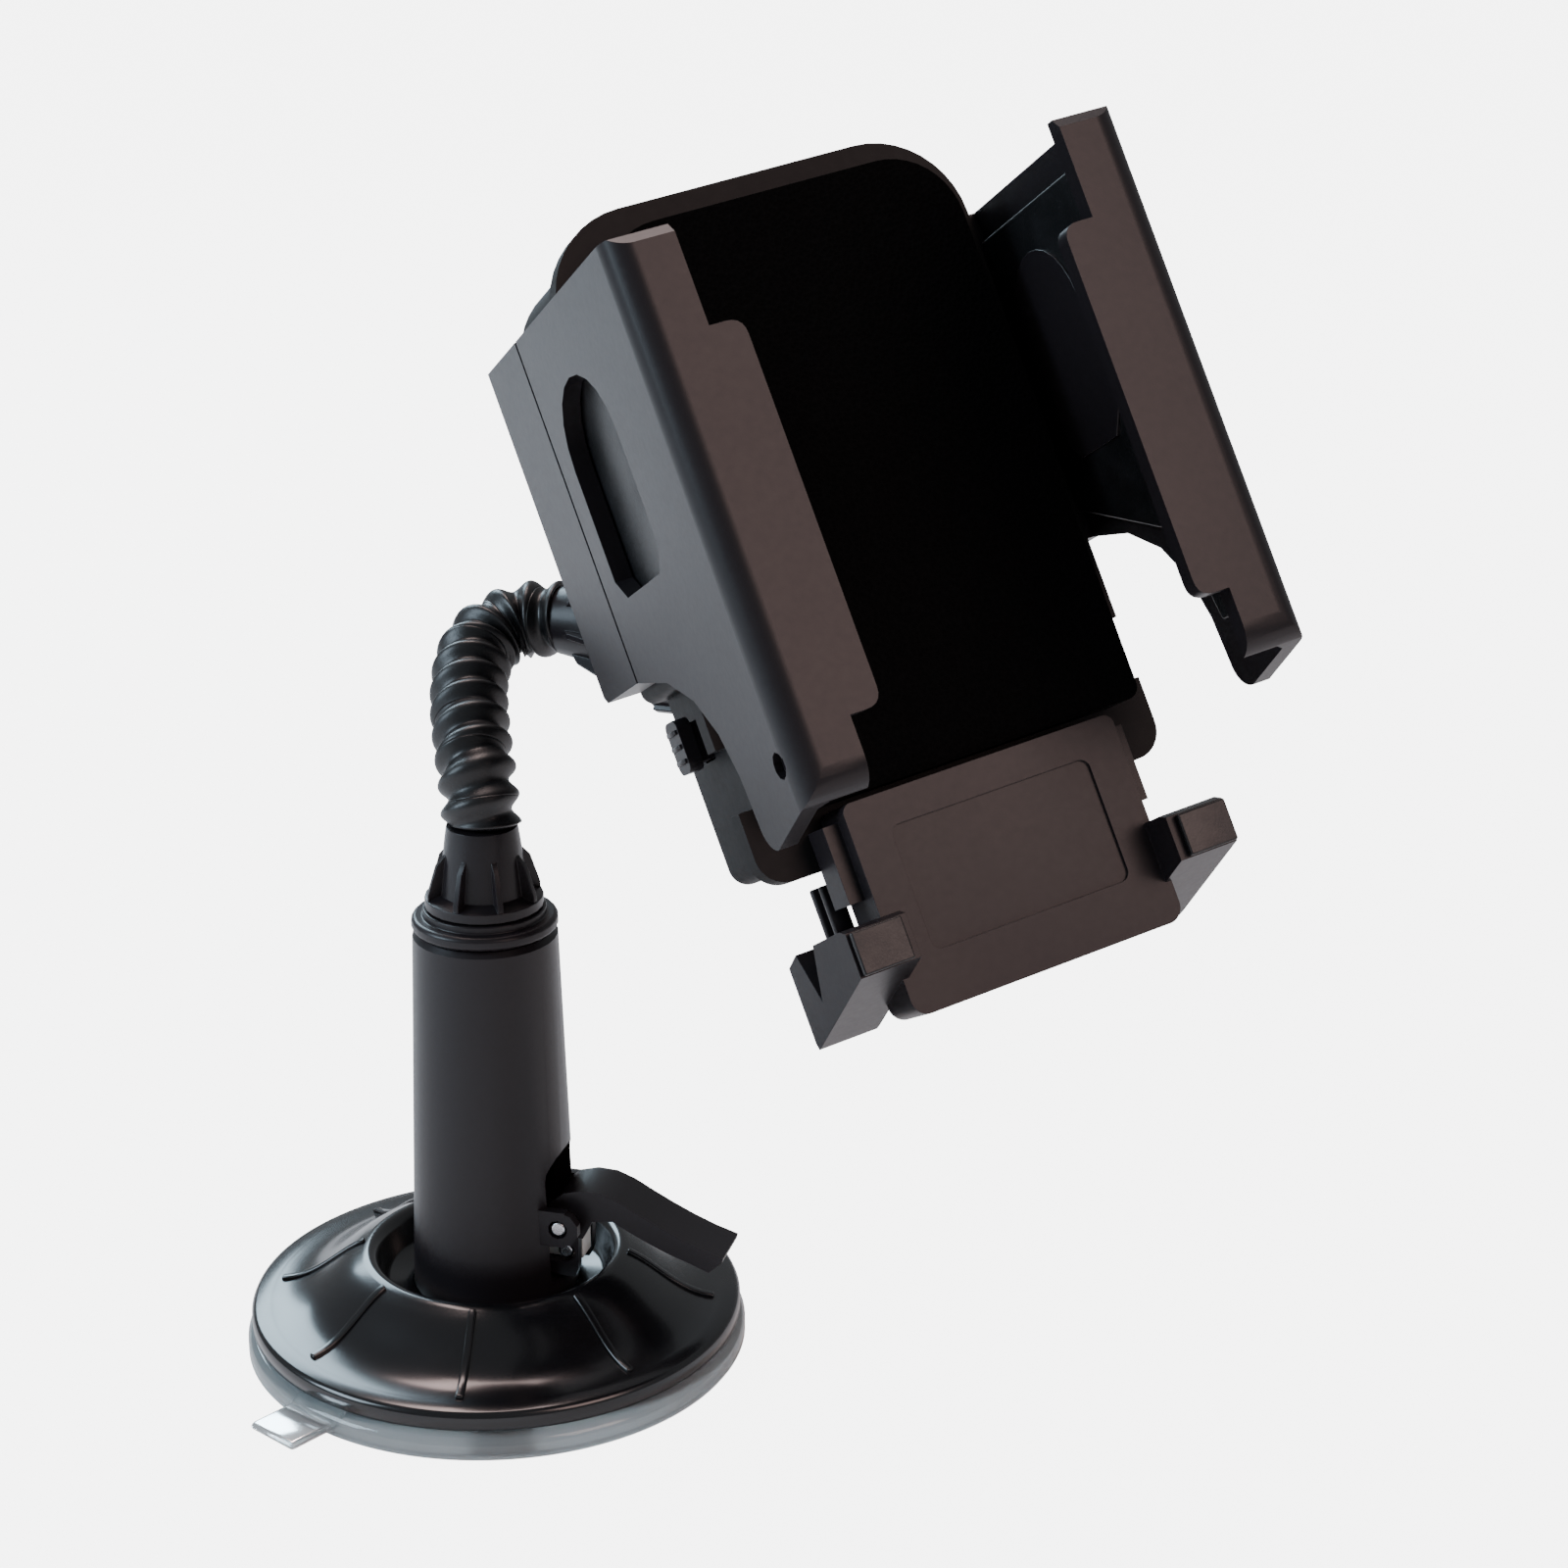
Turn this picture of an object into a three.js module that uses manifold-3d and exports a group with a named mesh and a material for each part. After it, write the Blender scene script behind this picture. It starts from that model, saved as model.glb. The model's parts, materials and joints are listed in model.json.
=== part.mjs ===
// Car phone mount: a suction base with a locking lever, a short flexible neck, a ball head and a
// sprung cradle. Millimetres, +Z up, origin at the middle of the suction face. The cradle faces -Y.
import * as THREE from "three";
import { mergeVertices } from "three/addons/utils/BufferGeometryUtils.js";
import Module from "manifold-3d";

const wasm = await Module();
wasm.setup();

// ---- Driving dimensions ----
const gap = 0.3; // between pieces that touch or slide
const round = 32; // sides of a large turned piece
const smallRound = 10; // sides of a pin or screw

const cupRadius = 40;
const cupThickness = 4.5;
const tabReach = 8;
const tabWidth = 14;
const tabThickness = 1.8;
const tabAngle = 243; // degrees round from the lever

const domeRadius = 39.2;
const rimHeight = 3.1;
const rimWidth = 4;
const lipRadius = 20.2;
const lipHeight = 11.1; // above the dome's lower edge
const wellDepth = 5.7;
const shellWall = 2;
const ribCount = 8;
const ribWidth = 1.3;
const ribRise = 0.6;
const firstRib = 10; // degrees round from the lever

const columnFoot = 13.2;
const columnTop = 11.2;
const columnHeight = 60.4;
const columnWall = 2.5;
const capThickness = 4.9;
const leverAzimuth = -36; // degrees from +X to the lever

const leverWidth = 8.8;
const leverReach = 26; // from the pivot to the thumb tab's end
const leverWall = 1.7;
const slotSide = 1.8; // room beside the lever in its slot
const slotHeight = 21.5;
const slotLift = 3; // above the column's foot
const pinRadius = 1.3;
const pivotLift = 13.5; // above the column's foot
const camReach = 5.5; // pivot to roller pin when locked
const camThrow = 2;
const camTurn = 70; // degrees of lever travel
const rodRadius = 2.8;
const armWidth = 4; // of the plunger's side arm

const collarRadius = 11.4;
const collarHeight = 2.2;
const collarStep = 9.6;
const collarStepHeight = 1.2;
const boltRadius = 2.4;

const ferruleLength = 13;
const upperFerruleLength = 11;
const ferruleFlange = 9.2;
const ferruleFoot = 6.9;
const ferruleTip = 5.5;
const ferruleRibs = 8;

const neckRadius = 5.65;
const neckSegments = 7;
const neckGap = 0.6;
const neckRise = 14; // handle of the neck's curve above the base
const neckLead = 26; // handle of the neck's curve behind the head

const ballRadius = 6.5;
const linerWall = 1.2;
const socketWall = 1.4;
const nutWall = 2.6;
const stemRadius = 2.6;
const stemLength = 9.7; // ball's middle to the ferrule

const hubRadius = 14;
const hubThickness = 5;
const hubDrop = 36; // below the arms' top end

const armHalfSpan = 39.2; // cradle's middle to an arm's outer face
const armLength = 82;
const armFront = 32;
const armThickness = 2.8;
const lipThickness = 3;
const lipWidth = 9.8;
const lipExtra = 4.9;
const edgeRound = 4;
const rootDepth = 18.5;
const rootLength = 52;
const wallBack = -15.1; // parting line between an arm's wall and its root

const plateHalfWidth = 33.4;
const plateTop = 13.7;
const plateBottom = -86;
const plateFront = -10;
const plateThickness = 3.5;
const plateCorner = 14;
const notchTop = -65; // a notch in each side of the plate
const notchBottom = -74.5;
const notchDepth = 4.4;
const lobeRound = 4.5;
const housingInset = 3; // housing's top below the plate's
const shoulder = -54; // the housing is narrower below this
const shoulderDepth = 4;
const housingWall = 2;
const padInset = 4.8;
const padTopInset = 5;
const padThickness = 7.7;
const padBottom = -77.5;

const rackWidth = 5;
const rackDepth = 4;
const armTravel = 20;
const armScrewSink = 1.3;
const pinionTeeth = 12;
const pinionPitch = 5;
const pinionHeight = 4;
const pinionDrop = 12; // below the arms' top end
const axleRadius = 1.6;

const sliderInset = 11.2; // slider's side from the plate's
const sliderHalfWidth = plateHalfWidth - sliderInset;
const wingWidth = 2.5;
const wingBottom = -92;
const sliderFront = -0.5;
const sliderTop = -78.5;
const sliderBottom = -110;
const tongueThickness = 2.8;
const tongueTop = -56;
const footWidth = 8.5; // outside the slider
const footFront = 6.5;
const footBack = -19.5;

const buttonDrop = 62;
const buttonHeight = 8;
const buttonTravel = 1.5;

// Where the cradle is set: its arms' top end, how far it leans back and how far it is rolled.
const cradlePlace = new THREE.Vector3(43, -19.9, 177.8);
const cradleLean = 27.9;
const cradleRoll = 10.7;
const ballInCradle = new THREE.Vector3(-16, -42, -55.6);
const headLine = new THREE.Vector3(0.658, -0.738, 0.06).normalize(); // from the neck to the cradle

// ---- Heights that follow ----
const domeBase = cupThickness + gap;
const wellFloor = domeBase + lipHeight - wellDepth;
const columnBase = wellFloor + gap;
const columnEnd = columnBase + columnHeight;
const pivotX = columnFoot;
const pivotZ = columnBase + pivotLift;
const rollerZ = pivotZ - camReach;
const collarBase = columnEnd + gap;
const ferruleBase = collarBase + collarHeight + collarStepHeight + gap;
const neckStart = ferruleBase + ferruleLength;
const plateBack = plateFront - plateThickness;
const housingFront = plateBack - gap;
const housingBack = wallBack - rootDepth + gap;
const housingTop = plateTop - housingInset;
const rackMiddle = housingBack + housingWall + 7;
const lowerHalfWidth = plateHalfWidth - shoulderDepth;
const rootInner = plateHalfWidth + 2 * gap;
const rootBack = wallBack - rootDepth;
const armScrewAcross = rootInner + 2.1;
const wallKeep = armFront - 0.42 * (armFront - wallBack); // front part of an arm below its root

// ---- Helpers ----
const radians = THREE.MathUtils.degToRad;

// A three.js geometry as a solid whose faces point out.
function solid(geometry) {
  const source = geometry.index ? geometry.toNonIndexed() : geometry;
  const bare = new THREE.BufferGeometry().setAttribute("position", source.getAttribute("position"));
  const merged = mergeVertices(bare, 1e-4);
  const triangles = [];
  for (let i = 0; i < merged.index.count; i += 3) {
    const [a, b, c] = [0, 1, 2].map((k) => merged.index.getX(i + k));
    if (a !== b && b !== c && a !== c) triangles.push(a, b, c);
  }
  const make = (list) =>
    new wasm.Manifold(
      new wasm.Mesh({
        numProp: 3,
        vertProperties: merged.attributes.position.array,
        triVerts: new Uint32Array(list),
      }),
    );
  const made = make(triangles);
  return made.volume() > 0 ? made : make(triangles.reverse());
}

// A solid as a three.js geometry.
function geometryOf(made) {
  const mesh = made.getMesh();
  const positions = new Float32Array(mesh.numVert * 3);
  for (let i = 0; i < mesh.numVert; i++)
    for (let k = 0; k < 3; k++) positions[3 * i + k] = mesh.vertProperties[mesh.numProp * i + k];
  const geometry = new THREE.BufferGeometry();
  geometry.setAttribute("position", new THREE.BufferAttribute(positions, 3));
  geometry.setIndex(new THREE.BufferAttribute(new Uint32Array(mesh.triVerts), 1));
  geometry.computeVertexNormals();
  return geometry;
}

const points = (list) => list.map(([x, y]) => new THREE.Vector2(x, y));

// Turns a profile of [radius, height] about Z. A profile that isn't on the axis is closed first.
function turned(profile, sides = round) {
  const outline = Array.isArray(profile) ? points(profile) : profile.getPoints(4);
  if (outline[0].x > 0 && !outline[0].equals(outline.at(-1))) outline.push(outline[0].clone());
  return solid(new THREE.LatheGeometry(outline, sides).rotateX(Math.PI / 2));
}

// A plain cylinder standing on a height.
function rod(radius, low, high, sides = smallRound) {
  const height = high - low;
  return solid(
    new THREE.CylinderGeometry(radius, radius, height, sides)
      .rotateX(Math.PI / 2)
      .translate(0, 0, low + height / 2),
  );
}

// A box given by its low and high corners.
function block(low, high) {
  const size = high.map((value, k) => value - low[k]);
  const middle = high.map((value, k) => (value + low[k]) / 2);
  return solid(new THREE.BoxGeometry(...size).translate(...middle));
}

// An outline in X and Y raised from one height to another.
function raised(shape, low, high) {
  const outline = Array.isArray(shape) ? new THREE.Shape(points(shape)) : shape;
  const depth = high - low;
  return solid(
    new THREE.ExtrudeGeometry(outline, { depth, bevelEnabled: false, curveSegments: 5 }).translate(0, 0, low),
  );
}

// An outline of [x, z] given a width along Y, centred on a place.
function sideways(shape, width, middle = 0) {
  return raised(shape, middle - width / 2, middle + width / 2).rotate([90, 0, 0]);
}

// An outline of [y, z] raised along X.
function acrossX(shape, low, high) {
  const outline = Array.isArray(shape) ? new THREE.Shape(points(shape)) : shape;
  const turn = new THREE.Matrix4().makeBasis(
    new THREE.Vector3(0, 1, 0),
    new THREE.Vector3(0, 0, 1),
    new THREE.Vector3(1, 0, 0),
  );
  const depth = high - low;
  return solid(
    new THREE.ExtrudeGeometry(outline, { depth, bevelEnabled: false, curveSegments: 5 })
      .translate(0, 0, low)
      .applyMatrix4(turn),
  );
}

function roundedBox(halfWidth, low, high, topCorner, bottomCorner) {
  const shape = new THREE.Shape();
  shape.moveTo(-halfWidth + bottomCorner, low);
  shape.lineTo(halfWidth - bottomCorner, low);
  shape.absarc(halfWidth - bottomCorner, low + bottomCorner, bottomCorner, -Math.PI / 2, 0);
  shape.lineTo(halfWidth, high - topCorner);
  shape.absarc(halfWidth - topCorner, high - topCorner, topCorner, 0, Math.PI / 2);
  shape.lineTo(-halfWidth + topCorner, high);
  shape.absarc(-halfWidth + topCorner, high - topCorner, topCorner, Math.PI / 2, Math.PI);
  shape.lineTo(-halfWidth, low + bottomCorner);
  shape.absarc(-halfWidth + bottomCorner, low + bottomCorner, bottomCorner, Math.PI, 1.5 * Math.PI);
  return shape;
}

function ringOf(count, make) {
  return Array.from({ length: count }, (_, i) => make(i, (360 / count) * i));
}

const joined = (first, ...others) => others.flat().reduce((sum, other) => sum.add(other), first);
const cut = (first, ...others) => others.flat().reduce((rest, other) => rest.subtract(other), first);

// A coil spring of round wire about Z.
class Helix extends THREE.Curve {
  constructor(radius, low, high, turns) {
    super();
    Object.assign(this, { radius, low, high, turns });
  }
  getPoint(t, target = new THREE.Vector3()) {
    const angle = 2 * Math.PI * this.turns * t;
    const height = this.low + (this.high - this.low) * t;
    return target.set(this.radius * Math.cos(angle), this.radius * Math.sin(angle), height);
  }
}

function circle(radius, sides) {
  return new THREE.Shape(
    Array.from({ length: sides }, (_, i) => {
      const angle = (2 * Math.PI * i) / sides;
      return new THREE.Vector2(radius * Math.cos(angle), radius * Math.sin(angle));
    }),
  );
}

function swept(path, radius, sides, steps) {
  return solid(
    new THREE.ExtrudeGeometry(circle(radius, sides), { steps, extrudePath: path, bevelEnabled: false }),
  );
}

const coil = (radius, wire, low, high, turns) =>
  swept(new Helix(radius, low + wire, high - wire, turns), wire, 4, turns * 8);

// ---- Finishes ----
const finish = (color, roughness, metalness = 0) =>
  new THREE.MeshStandardMaterial({ color, roughness, metalness });
const clearVinyl = () => finish(0xdfe6e6, 0.15);
const glossBlack = () => finish(0x0b0b0d, 0.12);
const satinBlack = () => finish(0x26242a, 0.42);
const mattBlack = () => finish(0x1c1b1d, 0.6);
const blackFoam = () => finish(0x0c0c0c, 0.95);
const blackRubber = () => finish(0x17171a, 0.8);
const polishedSteel = () => finish(0xc8c8cc, 0.25, 1);
const whiteNylon = () => finish(0xd8d6cf, 0.5);

function add(parent, name, material, made) {
  const mesh = new THREE.Mesh(geometryOf(made), material);
  mesh.name = name;
  parent.add(mesh);
  return mesh;
}

// ---- Suction base ----
function suctionCup() {
  const bossRadius = 5.2;
  const body = turned([
    [0, 0],
    [cupRadius - 0.6, 0],
    [cupRadius, 0.8],
    [cupRadius, cupThickness - 1.6],
    [cupRadius - 1.4, cupThickness - 0.3],
    [cupRadius - 3, cupThickness],
    [bossRadius, cupThickness],
    [bossRadius, wellFloor - shellWall - 0.7],
    [0, wellFloor - shellWall - 0.7],
  ]);
  const tab = raised(roundedBox(tabWidth / 2, -cupRadius - tabReach, -cupRadius + 4, 1, 5), 1, 1 + tabThickness);
  const hole = rod(rodRadius + gap, 1, wellFloor);
  return cut(joined(body, tab.rotate([0, 0, tabAngle + 90])), hole);
}

function domeOutline(path, lift) {
  const rimTop = domeBase + rimHeight;
  const lipTop = domeBase + lipHeight;
  path.bezierCurveTo(
    domeRadius - rimWidth - 6,
    rimTop + 0.7 + lift,
    lipRadius + 6,
    lipTop - 2.4 + lift,
    lipRadius + 1.2,
    lipTop - 0.4 + lift,
  );
}

function baseDome() {
  const rimTop = domeBase + rimHeight;
  const lipTop = domeBase + lipHeight;
  const path = new THREE.Path();
  path.moveTo(rodRadius + gap, wellFloor - shellWall);
  path.lineTo(lipRadius - 4, wellFloor - shellWall);
  path.lineTo(lipRadius - 1, lipTop - 3.2);
  path.lineTo(lipRadius + 1.5, lipTop - 3);
  path.lineTo(lipRadius + 8, rimTop + 1);
  path.lineTo(domeRadius - rimWidth, rimTop - shellWall);
  path.lineTo(domeRadius - shellWall, domeBase);
  path.lineTo(domeRadius, domeBase);
  path.lineTo(domeRadius, rimTop - 0.9);
  path.lineTo(domeRadius - 0.9, rimTop);
  path.lineTo(domeRadius - rimWidth, rimTop + 0.2);
  domeOutline(path, 0);
  path.lineTo(lipRadius, lipTop);
  path.lineTo(lipRadius - 1.2, lipTop - 0.4);
  path.lineTo(lipRadius - 2.4, wellFloor + 0.8);
  path.lineTo(lipRadius - 3.2, wellFloor);
  path.lineTo(rodRadius + gap, wellFloor);
  path.closePath();
  const rib = new THREE.Shape();
  rib.moveTo(lipRadius + 1.2, lipTop - 1.4);
  rib.lineTo(domeRadius - rimWidth, rimTop - 0.6);
  rib.lineTo(domeRadius - rimWidth, rimTop + 0.2 + ribRise);
  domeOutline(rib, ribRise);
  const ribs = ringOf(ribCount, (i, angle) => sideways(rib, ribWidth).rotate([0, 0, firstRib + angle]));
  const holes = screwPlaces().map((place) => rod(1.4, domeBase, columnBase).translate(place));
  return cut(joined(turned(path), ribs), holes);
}

// The three screws that hold the column stand on a ring inside it, clear of the lever.
function screwPlaces() {
  const ring = columnFoot - columnWall - 1.7;
  return [90, 180, 270].map((angle) => [
    ring * Math.cos(radians(angle)),
    ring * Math.sin(radians(angle)),
    0,
  ]);
}

function column() {
  const bore = (z) => columnFoot - columnWall - ((columnFoot - columnTop) * (z - columnBase)) / columnHeight;
  const roof = columnEnd - capThickness;
  const tube = turned([
    [bore(columnBase), columnBase],
    [columnFoot, columnBase],
    [columnTop + 0.1, columnEnd - 0.8],
    [columnTop - 0.7, columnEnd],
    [boltRadius + gap, columnEnd],
    [boltRadius + gap, roof],
    [bore(roof), roof],
  ]);
  const slot = new THREE.Shape();
  const half = leverWidth / 2 + slotSide;
  const slotBottom = columnBase + slotLift;
  const slotTop = slotBottom + slotHeight;
  slot.moveTo(-half, slotBottom);
  slot.lineTo(half, slotBottom);
  slot.lineTo(half, slotTop - half * 0.6);
  slot.absellipse(0, slotTop - half * 0.6, half, half * 0.6, 0, Math.PI);
  const window = acrossX(slot, bore(columnBase) / 2, columnFoot + 2);
  const bosses = screwPlaces().map((place) => rod(2.2, columnBase, columnBase + 7).translate(place));
  const holes = screwPlaces().map((place) => rod(1.1, columnBase - 1, columnBase + 6).translate(place));
  const ears = [-1, 1].map((side) => pivotEar(side, half));
  return cut(joined(cut(tube, window), bosses, ears), holes, pivotHole());
}

// A cheek at each side of the slot takes the pivot pin.
function pivotEar(side, half) {
  const depth = columnFoot - Math.sqrt(columnFoot ** 2 - half ** 2);
  const near = pivotX - depth - columnWall;
  const cheek = block([near, side > 0 ? half : -half - 1.5, pivotZ - 3], [pivotX + 1.2, side > 0 ? half + 1.5 : -half, pivotZ + 3]);
  const boss = rod(3, -0.75, 0.75).rotate([90, 0, 0]).translate([pivotX + 0.4, side * (half + 0.75), pivotZ]);
  return cheek.add(boss);
}

const pivotHole = () =>
  rod(pinRadius + gap, -leverWidth, leverWidth).rotate([90, 0, 0]).translate([pivotX, 0, pivotZ]);

function pinAcross(radius, halfLength, x, z) {
  const chamfer = 0.3;
  const pin = turned(
    [
      [0, -halfLength],
      [radius - chamfer, -halfLength],
      [radius, -halfLength + chamfer],
      [radius, halfLength - chamfer],
      [radius - chamfer, halfLength],
      [0, halfLength],
    ],
    smallRound,
  );
  return pin.rotate([90, 0, 0]).translate([x, 0, z]);
}

// A channel with a thumb tab at its end and two cam cheeks under its pivot.
function lever() {
  const tip = pivotX + leverReach;
  const side = new THREE.Shape();
  side.moveTo(pivotX - 3.2, pivotZ);
  side.bezierCurveTo(pivotX - 3, pivotZ + 5.8, pivotX + 5, pivotZ + 6.8, pivotX + 9, pivotZ + 4.4);
  side.bezierCurveTo(pivotX + 14, pivotZ + 1.6, tip - 6, pivotZ - 1.6, tip, pivotZ - 3.2);
  side.lineTo(tip - 0.2, pivotZ - 4);
  side.lineTo(tip - 2.4, pivotZ - 6);
  side.lineTo(tip - 6, pivotZ - 4.6);
  side.bezierCurveTo(tip - 9, pivotZ - 3.8, pivotX + 12, pivotZ - 1.4, pivotX + 8, pivotZ + 0.8);
  side.lineTo(pivotX + 4.6, pivotZ + 0.4);
  side.lineTo(pivotX + 3, pivotZ - 2.8);
  side.lineTo(pivotX - 2, pivotZ - 2.6);
  const inner = new THREE.Shape();
  inner.moveTo(pivotX - 8, pivotZ - 10);
  inner.lineTo(pivotX - 8, pivotZ + 2);
  inner.bezierCurveTo(pivotX - 1, pivotZ + 4.8, pivotX + 5, pivotZ + 5, pivotX + 8.4, pivotZ + 2.8);
  inner.lineTo(tip - 9, pivotZ - 2.8);
  inner.lineTo(tip - 10, pivotZ - 10);
  const body = cut(sideways(side, leverWidth), sideways(inner, leverWidth - 2 * leverWall));
  const far = camReach + camThrow + 2.2;
  const cam = new THREE.Shape();
  cam.moveTo(pivotX + 2.4, pivotZ + 1);
  cam.lineTo(pivotX + 2.2, pivotZ - far + 1.6);
  cam.absarc(pivotX, pivotZ, far, radians(-80), radians(-172), true);
  cam.lineTo(pivotX - 3, pivotZ + 1.5);
  const inset = leverWidth / 2 - leverWall / 2;
  const cams = [-1, 1].map((hand) => sideways(cam, leverWall, hand * inset));
  const slots = cut(camSlot(), block([-50, -armWidth / 2 - 0.2, -50], [50, armWidth / 2 + 0.2, 50]));
  return cut(joined(body, cams), slots, pivotHole());
}

// The roller pin's path in the cam cheeks, from locked to released.
function camSlot() {
  const steps = 10;
  const radius = pinRadius + 0.35;
  const stops = Array.from({ length: steps + 1 }, (_, i) => {
    const share = i / steps;
    const angle = radians(-90 - camTurn * share);
    const reach = camReach + camThrow * share;
    return rod(radius, -leverWidth, leverWidth, 12)
      .rotate([90, 0, 0])
      .translate([pivotX + reach * Math.cos(angle), 0, pivotZ + reach * Math.sin(angle)]);
  });
  return joined(stops[0], stops.slice(1));
}

function plunger() {
  const shaft = rod(rodRadius, cupThickness - 1.2, rollerZ + 1.8);
  const arm = block([0, -armWidth / 2, rollerZ - 2], [pivotX + 2.2, armWidth / 2, rollerZ + 1.8]);
  const hole = rod(pinRadius + gap, -armWidth, armWidth).rotate([90, 0, 0]).translate([pivotX, 0, rollerZ]);
  return cut(joined(shaft, arm), hole);
}

// A pan-head screw pointing up; a slotted one shows its cross recess.
function panScrew(shaftRadius, headRadius, shaftLow, shaftHigh, headHeight, slotted = false) {
  const made = turned(
    [
      [0, shaftLow - headHeight],
      [headRadius - 0.4, shaftLow - headHeight],
      [headRadius, shaftLow],
      [shaftRadius, shaftLow],
      [shaftRadius, shaftHigh],
      [0, shaftHigh],
    ],
    smallRound,
  );
  if (!slotted) return made;
  const recess = 0.5 * headHeight;
  const reach = headRadius * 0.55;
  const cross = [0, 90].map((angle) =>
    block([-reach, -0.4, shaftLow - headHeight - 1], [reach, 0.4, shaftLow - headHeight + recess]).rotate([0, 0, angle]),
  );
  return cut(made, cross);
}

function addBase(parent) {
  add(parent, "suction_cup", clearVinyl(), suctionCup());
  add(parent, "base_dome", glossBlack(), baseDome());
  add(parent, "column", satinBlack(), column());
  add(parent, "lock_lever", satinBlack(), lever());
  const pinHalf = leverWidth / 2 + slotSide + 1.4;
  add(parent, "lever_pivot_pin", polishedSteel(), pinAcross(pinRadius, pinHalf, pivotX, pivotZ));
  add(parent, "cam_roller_pin", polishedSteel(), pinAcross(pinRadius, leverWidth / 2 - 0.4, pivotX, rollerZ));
  add(parent, "plunger", whiteNylon(), plunger());
  const springTop = rollerZ - 2 - camThrow - gap;
  add(parent, "plunger_spring", polishedSteel(), coil(rodRadius + 1.2, 0.45, wellFloor + 0.1, springTop, 3));
  screwPlaces().forEach((place, i) => {
    const screw = panScrew(0.8, 2.2, wellFloor - shellWall - gap, columnBase + 5.5, 0.4 + 0.5 * gap);
    add(parent, `column_screw_${i + 1}`, polishedSteel(), screw.translate(place));
  });
}

// ---- Neck ----
function collarRing() {
  return turned([
    [boltRadius + gap, collarBase],
    [collarRadius - 0.5, collarBase],
    [collarRadius, collarBase + 0.5],
    [collarRadius, collarBase + collarHeight - 0.5],
    [collarRadius - 0.5, collarBase + collarHeight],
    [collarStep, collarBase + collarHeight],
    [collarStep, collarBase + collarHeight + collarStepHeight],
    [boltRadius + gap, collarBase + collarHeight + collarStepHeight],
    [boltRadius + gap, collarBase],
  ]);
}

// A tapered socket on a flange with thin gussets, standing on Z = 0.
function ferrule(length, boreDepth) {
  const flange = 1.5;
  const body = turned(
    [
      [0, 0],
      [ferruleFlange, 0],
      [ferruleFlange, flange],
      [ferruleFoot, flange + 0.8],
      [ferruleTip + 0.3, length - 2],
      [ferruleTip, length],
      [0, length],
    ],
    24,
  );
  const gusset = [
    [ferruleTip - 1, flange - 0.5],
    [ferruleFlange - 0.2, flange - 0.5],
    [ferruleFlange - 0.2, flange + 1],
    [ferruleFoot + 0.6, length * 0.55],
    [ferruleTip, length * 0.72],
  ];
  const ribs = ringOf(ferruleRibs, (i, angle) => sideways(gusset, 0.9).rotate([0, 0, angle]));
  return cut(joined(body, ribs), rod(boltRadius + gap, -1, boreDepth));
}

const neckBolt = (top) => {
  const washer = 0.8;
  const head = columnEnd - capThickness - gap - washer - gap;
  return panScrew(boltRadius, 4.6, head, top, 2.4);
};

function neckWasher() {
  const top = columnEnd - capThickness - gap;
  return turned(
    [
      [boltRadius + gap, top - 0.8],
      [5.4, top - 0.8],
      [5.4, top],
      [boltRadius + gap, top],
      [boltRadius + gap, top - 0.8],
    ],
    24,
  );
}

function neckCurve(head) {
  const start = new THREE.Vector3(0, 0, neckStart);
  const end = head.clone().addScaledVector(headLine, -stemLength - upperFerruleLength);
  return new THREE.CubicBezierCurve3(
    start,
    start.clone().add(new THREE.Vector3(0, 0, neckRise)),
    end.clone().addScaledVector(headLine, -neckLead),
    end,
  );
}

// The stretch of a curve between two distances along it.
class Stretch extends THREE.Curve {
  constructor(whole, from, to) {
    super();
    Object.assign(this, { whole, from, to });
  }
  getPoint(t, target) {
    return this.whole.getPointAt(this.from + (this.to - this.from) * t, target);
  }
}

function addNeck(parent, curve) {
  const length = curve.getLength();
  const step = length / neckSegments;
  for (let i = 0; i < neckSegments; i++) {
    const from = (i * step + neckGap / 2) / length;
    const to = ((i + 1) * step - neckGap / 2) / length;
    const made = swept(new Stretch(curve, from, to), neckRadius, 16, 4);
    add(parent, `neck_segment_${i + 1}`, blackRubber(), made);
  }
}

// ---- Ball head, on its own line: Z runs from the neck to the cradle, 0 at the ball's middle ----
const linerOut = ballRadius + gap + linerWall;
const socketIn = linerOut + gap;
const socketOut = socketIn + socketWall;
const nutIn = socketOut + gap;
const nutOut = nutIn + nutWall;
const nutMouth = 5.4;

const arc = (path, radius, from, to) => path.absarc(0, 0, radius, radians(from), radians(to), to < from);

function ballStud() {
  const path = new THREE.Path();
  path.moveTo(0, -stemLength - 7);
  path.lineTo(stemRadius - 0.4, -stemLength - 7);
  path.lineTo(stemRadius - 0.4, -stemLength + 0.3);
  path.lineTo(stemRadius, -stemLength + 0.6);
  arc(path, ballRadius, -66, 86);
  path.lineTo(0, ballRadius - 0.02);
  return turned(path, 20);
}

function ballLiner() {
  const path = new THREE.Path();
  arc(path, ballRadius + gap, -24, 52);
  arc(path, linerOut, 52, -24);
  path.closePath();
  const slit = block([0, -0.5, -10], [10, 0.5, 1.5]);
  return cut(turned(path, 20), [0, 90, 180, 270].map((angle) => slit.rotate([0, 0, angle])));
}

// The nut screws over the socket and its mouth holds the ball in.
function clampNut() {
  const path = new THREE.Path();
  const low = -6;
  path.moveTo(nutMouth, low);
  path.lineTo(nutMouth + 2.6, low);
  path.lineTo(nutOut, -1.5);
  path.lineTo(nutOut, 6);
  path.lineTo(nutIn, 6);
  path.lineTo(nutIn, -1.2);
  path.lineTo(socketIn, -1.2);
  arc(path, socketIn, -10, -42);
  path.closePath();
  const grips = ringOf(12, (i, angle) =>
    block([nutOut - 0.6, -0.9, -1], [nutOut + 0.8, 0.9, 5.6]).rotate([0, 0, angle]),
  );
  return joined(turned(path, 24), grips);
}

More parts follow.
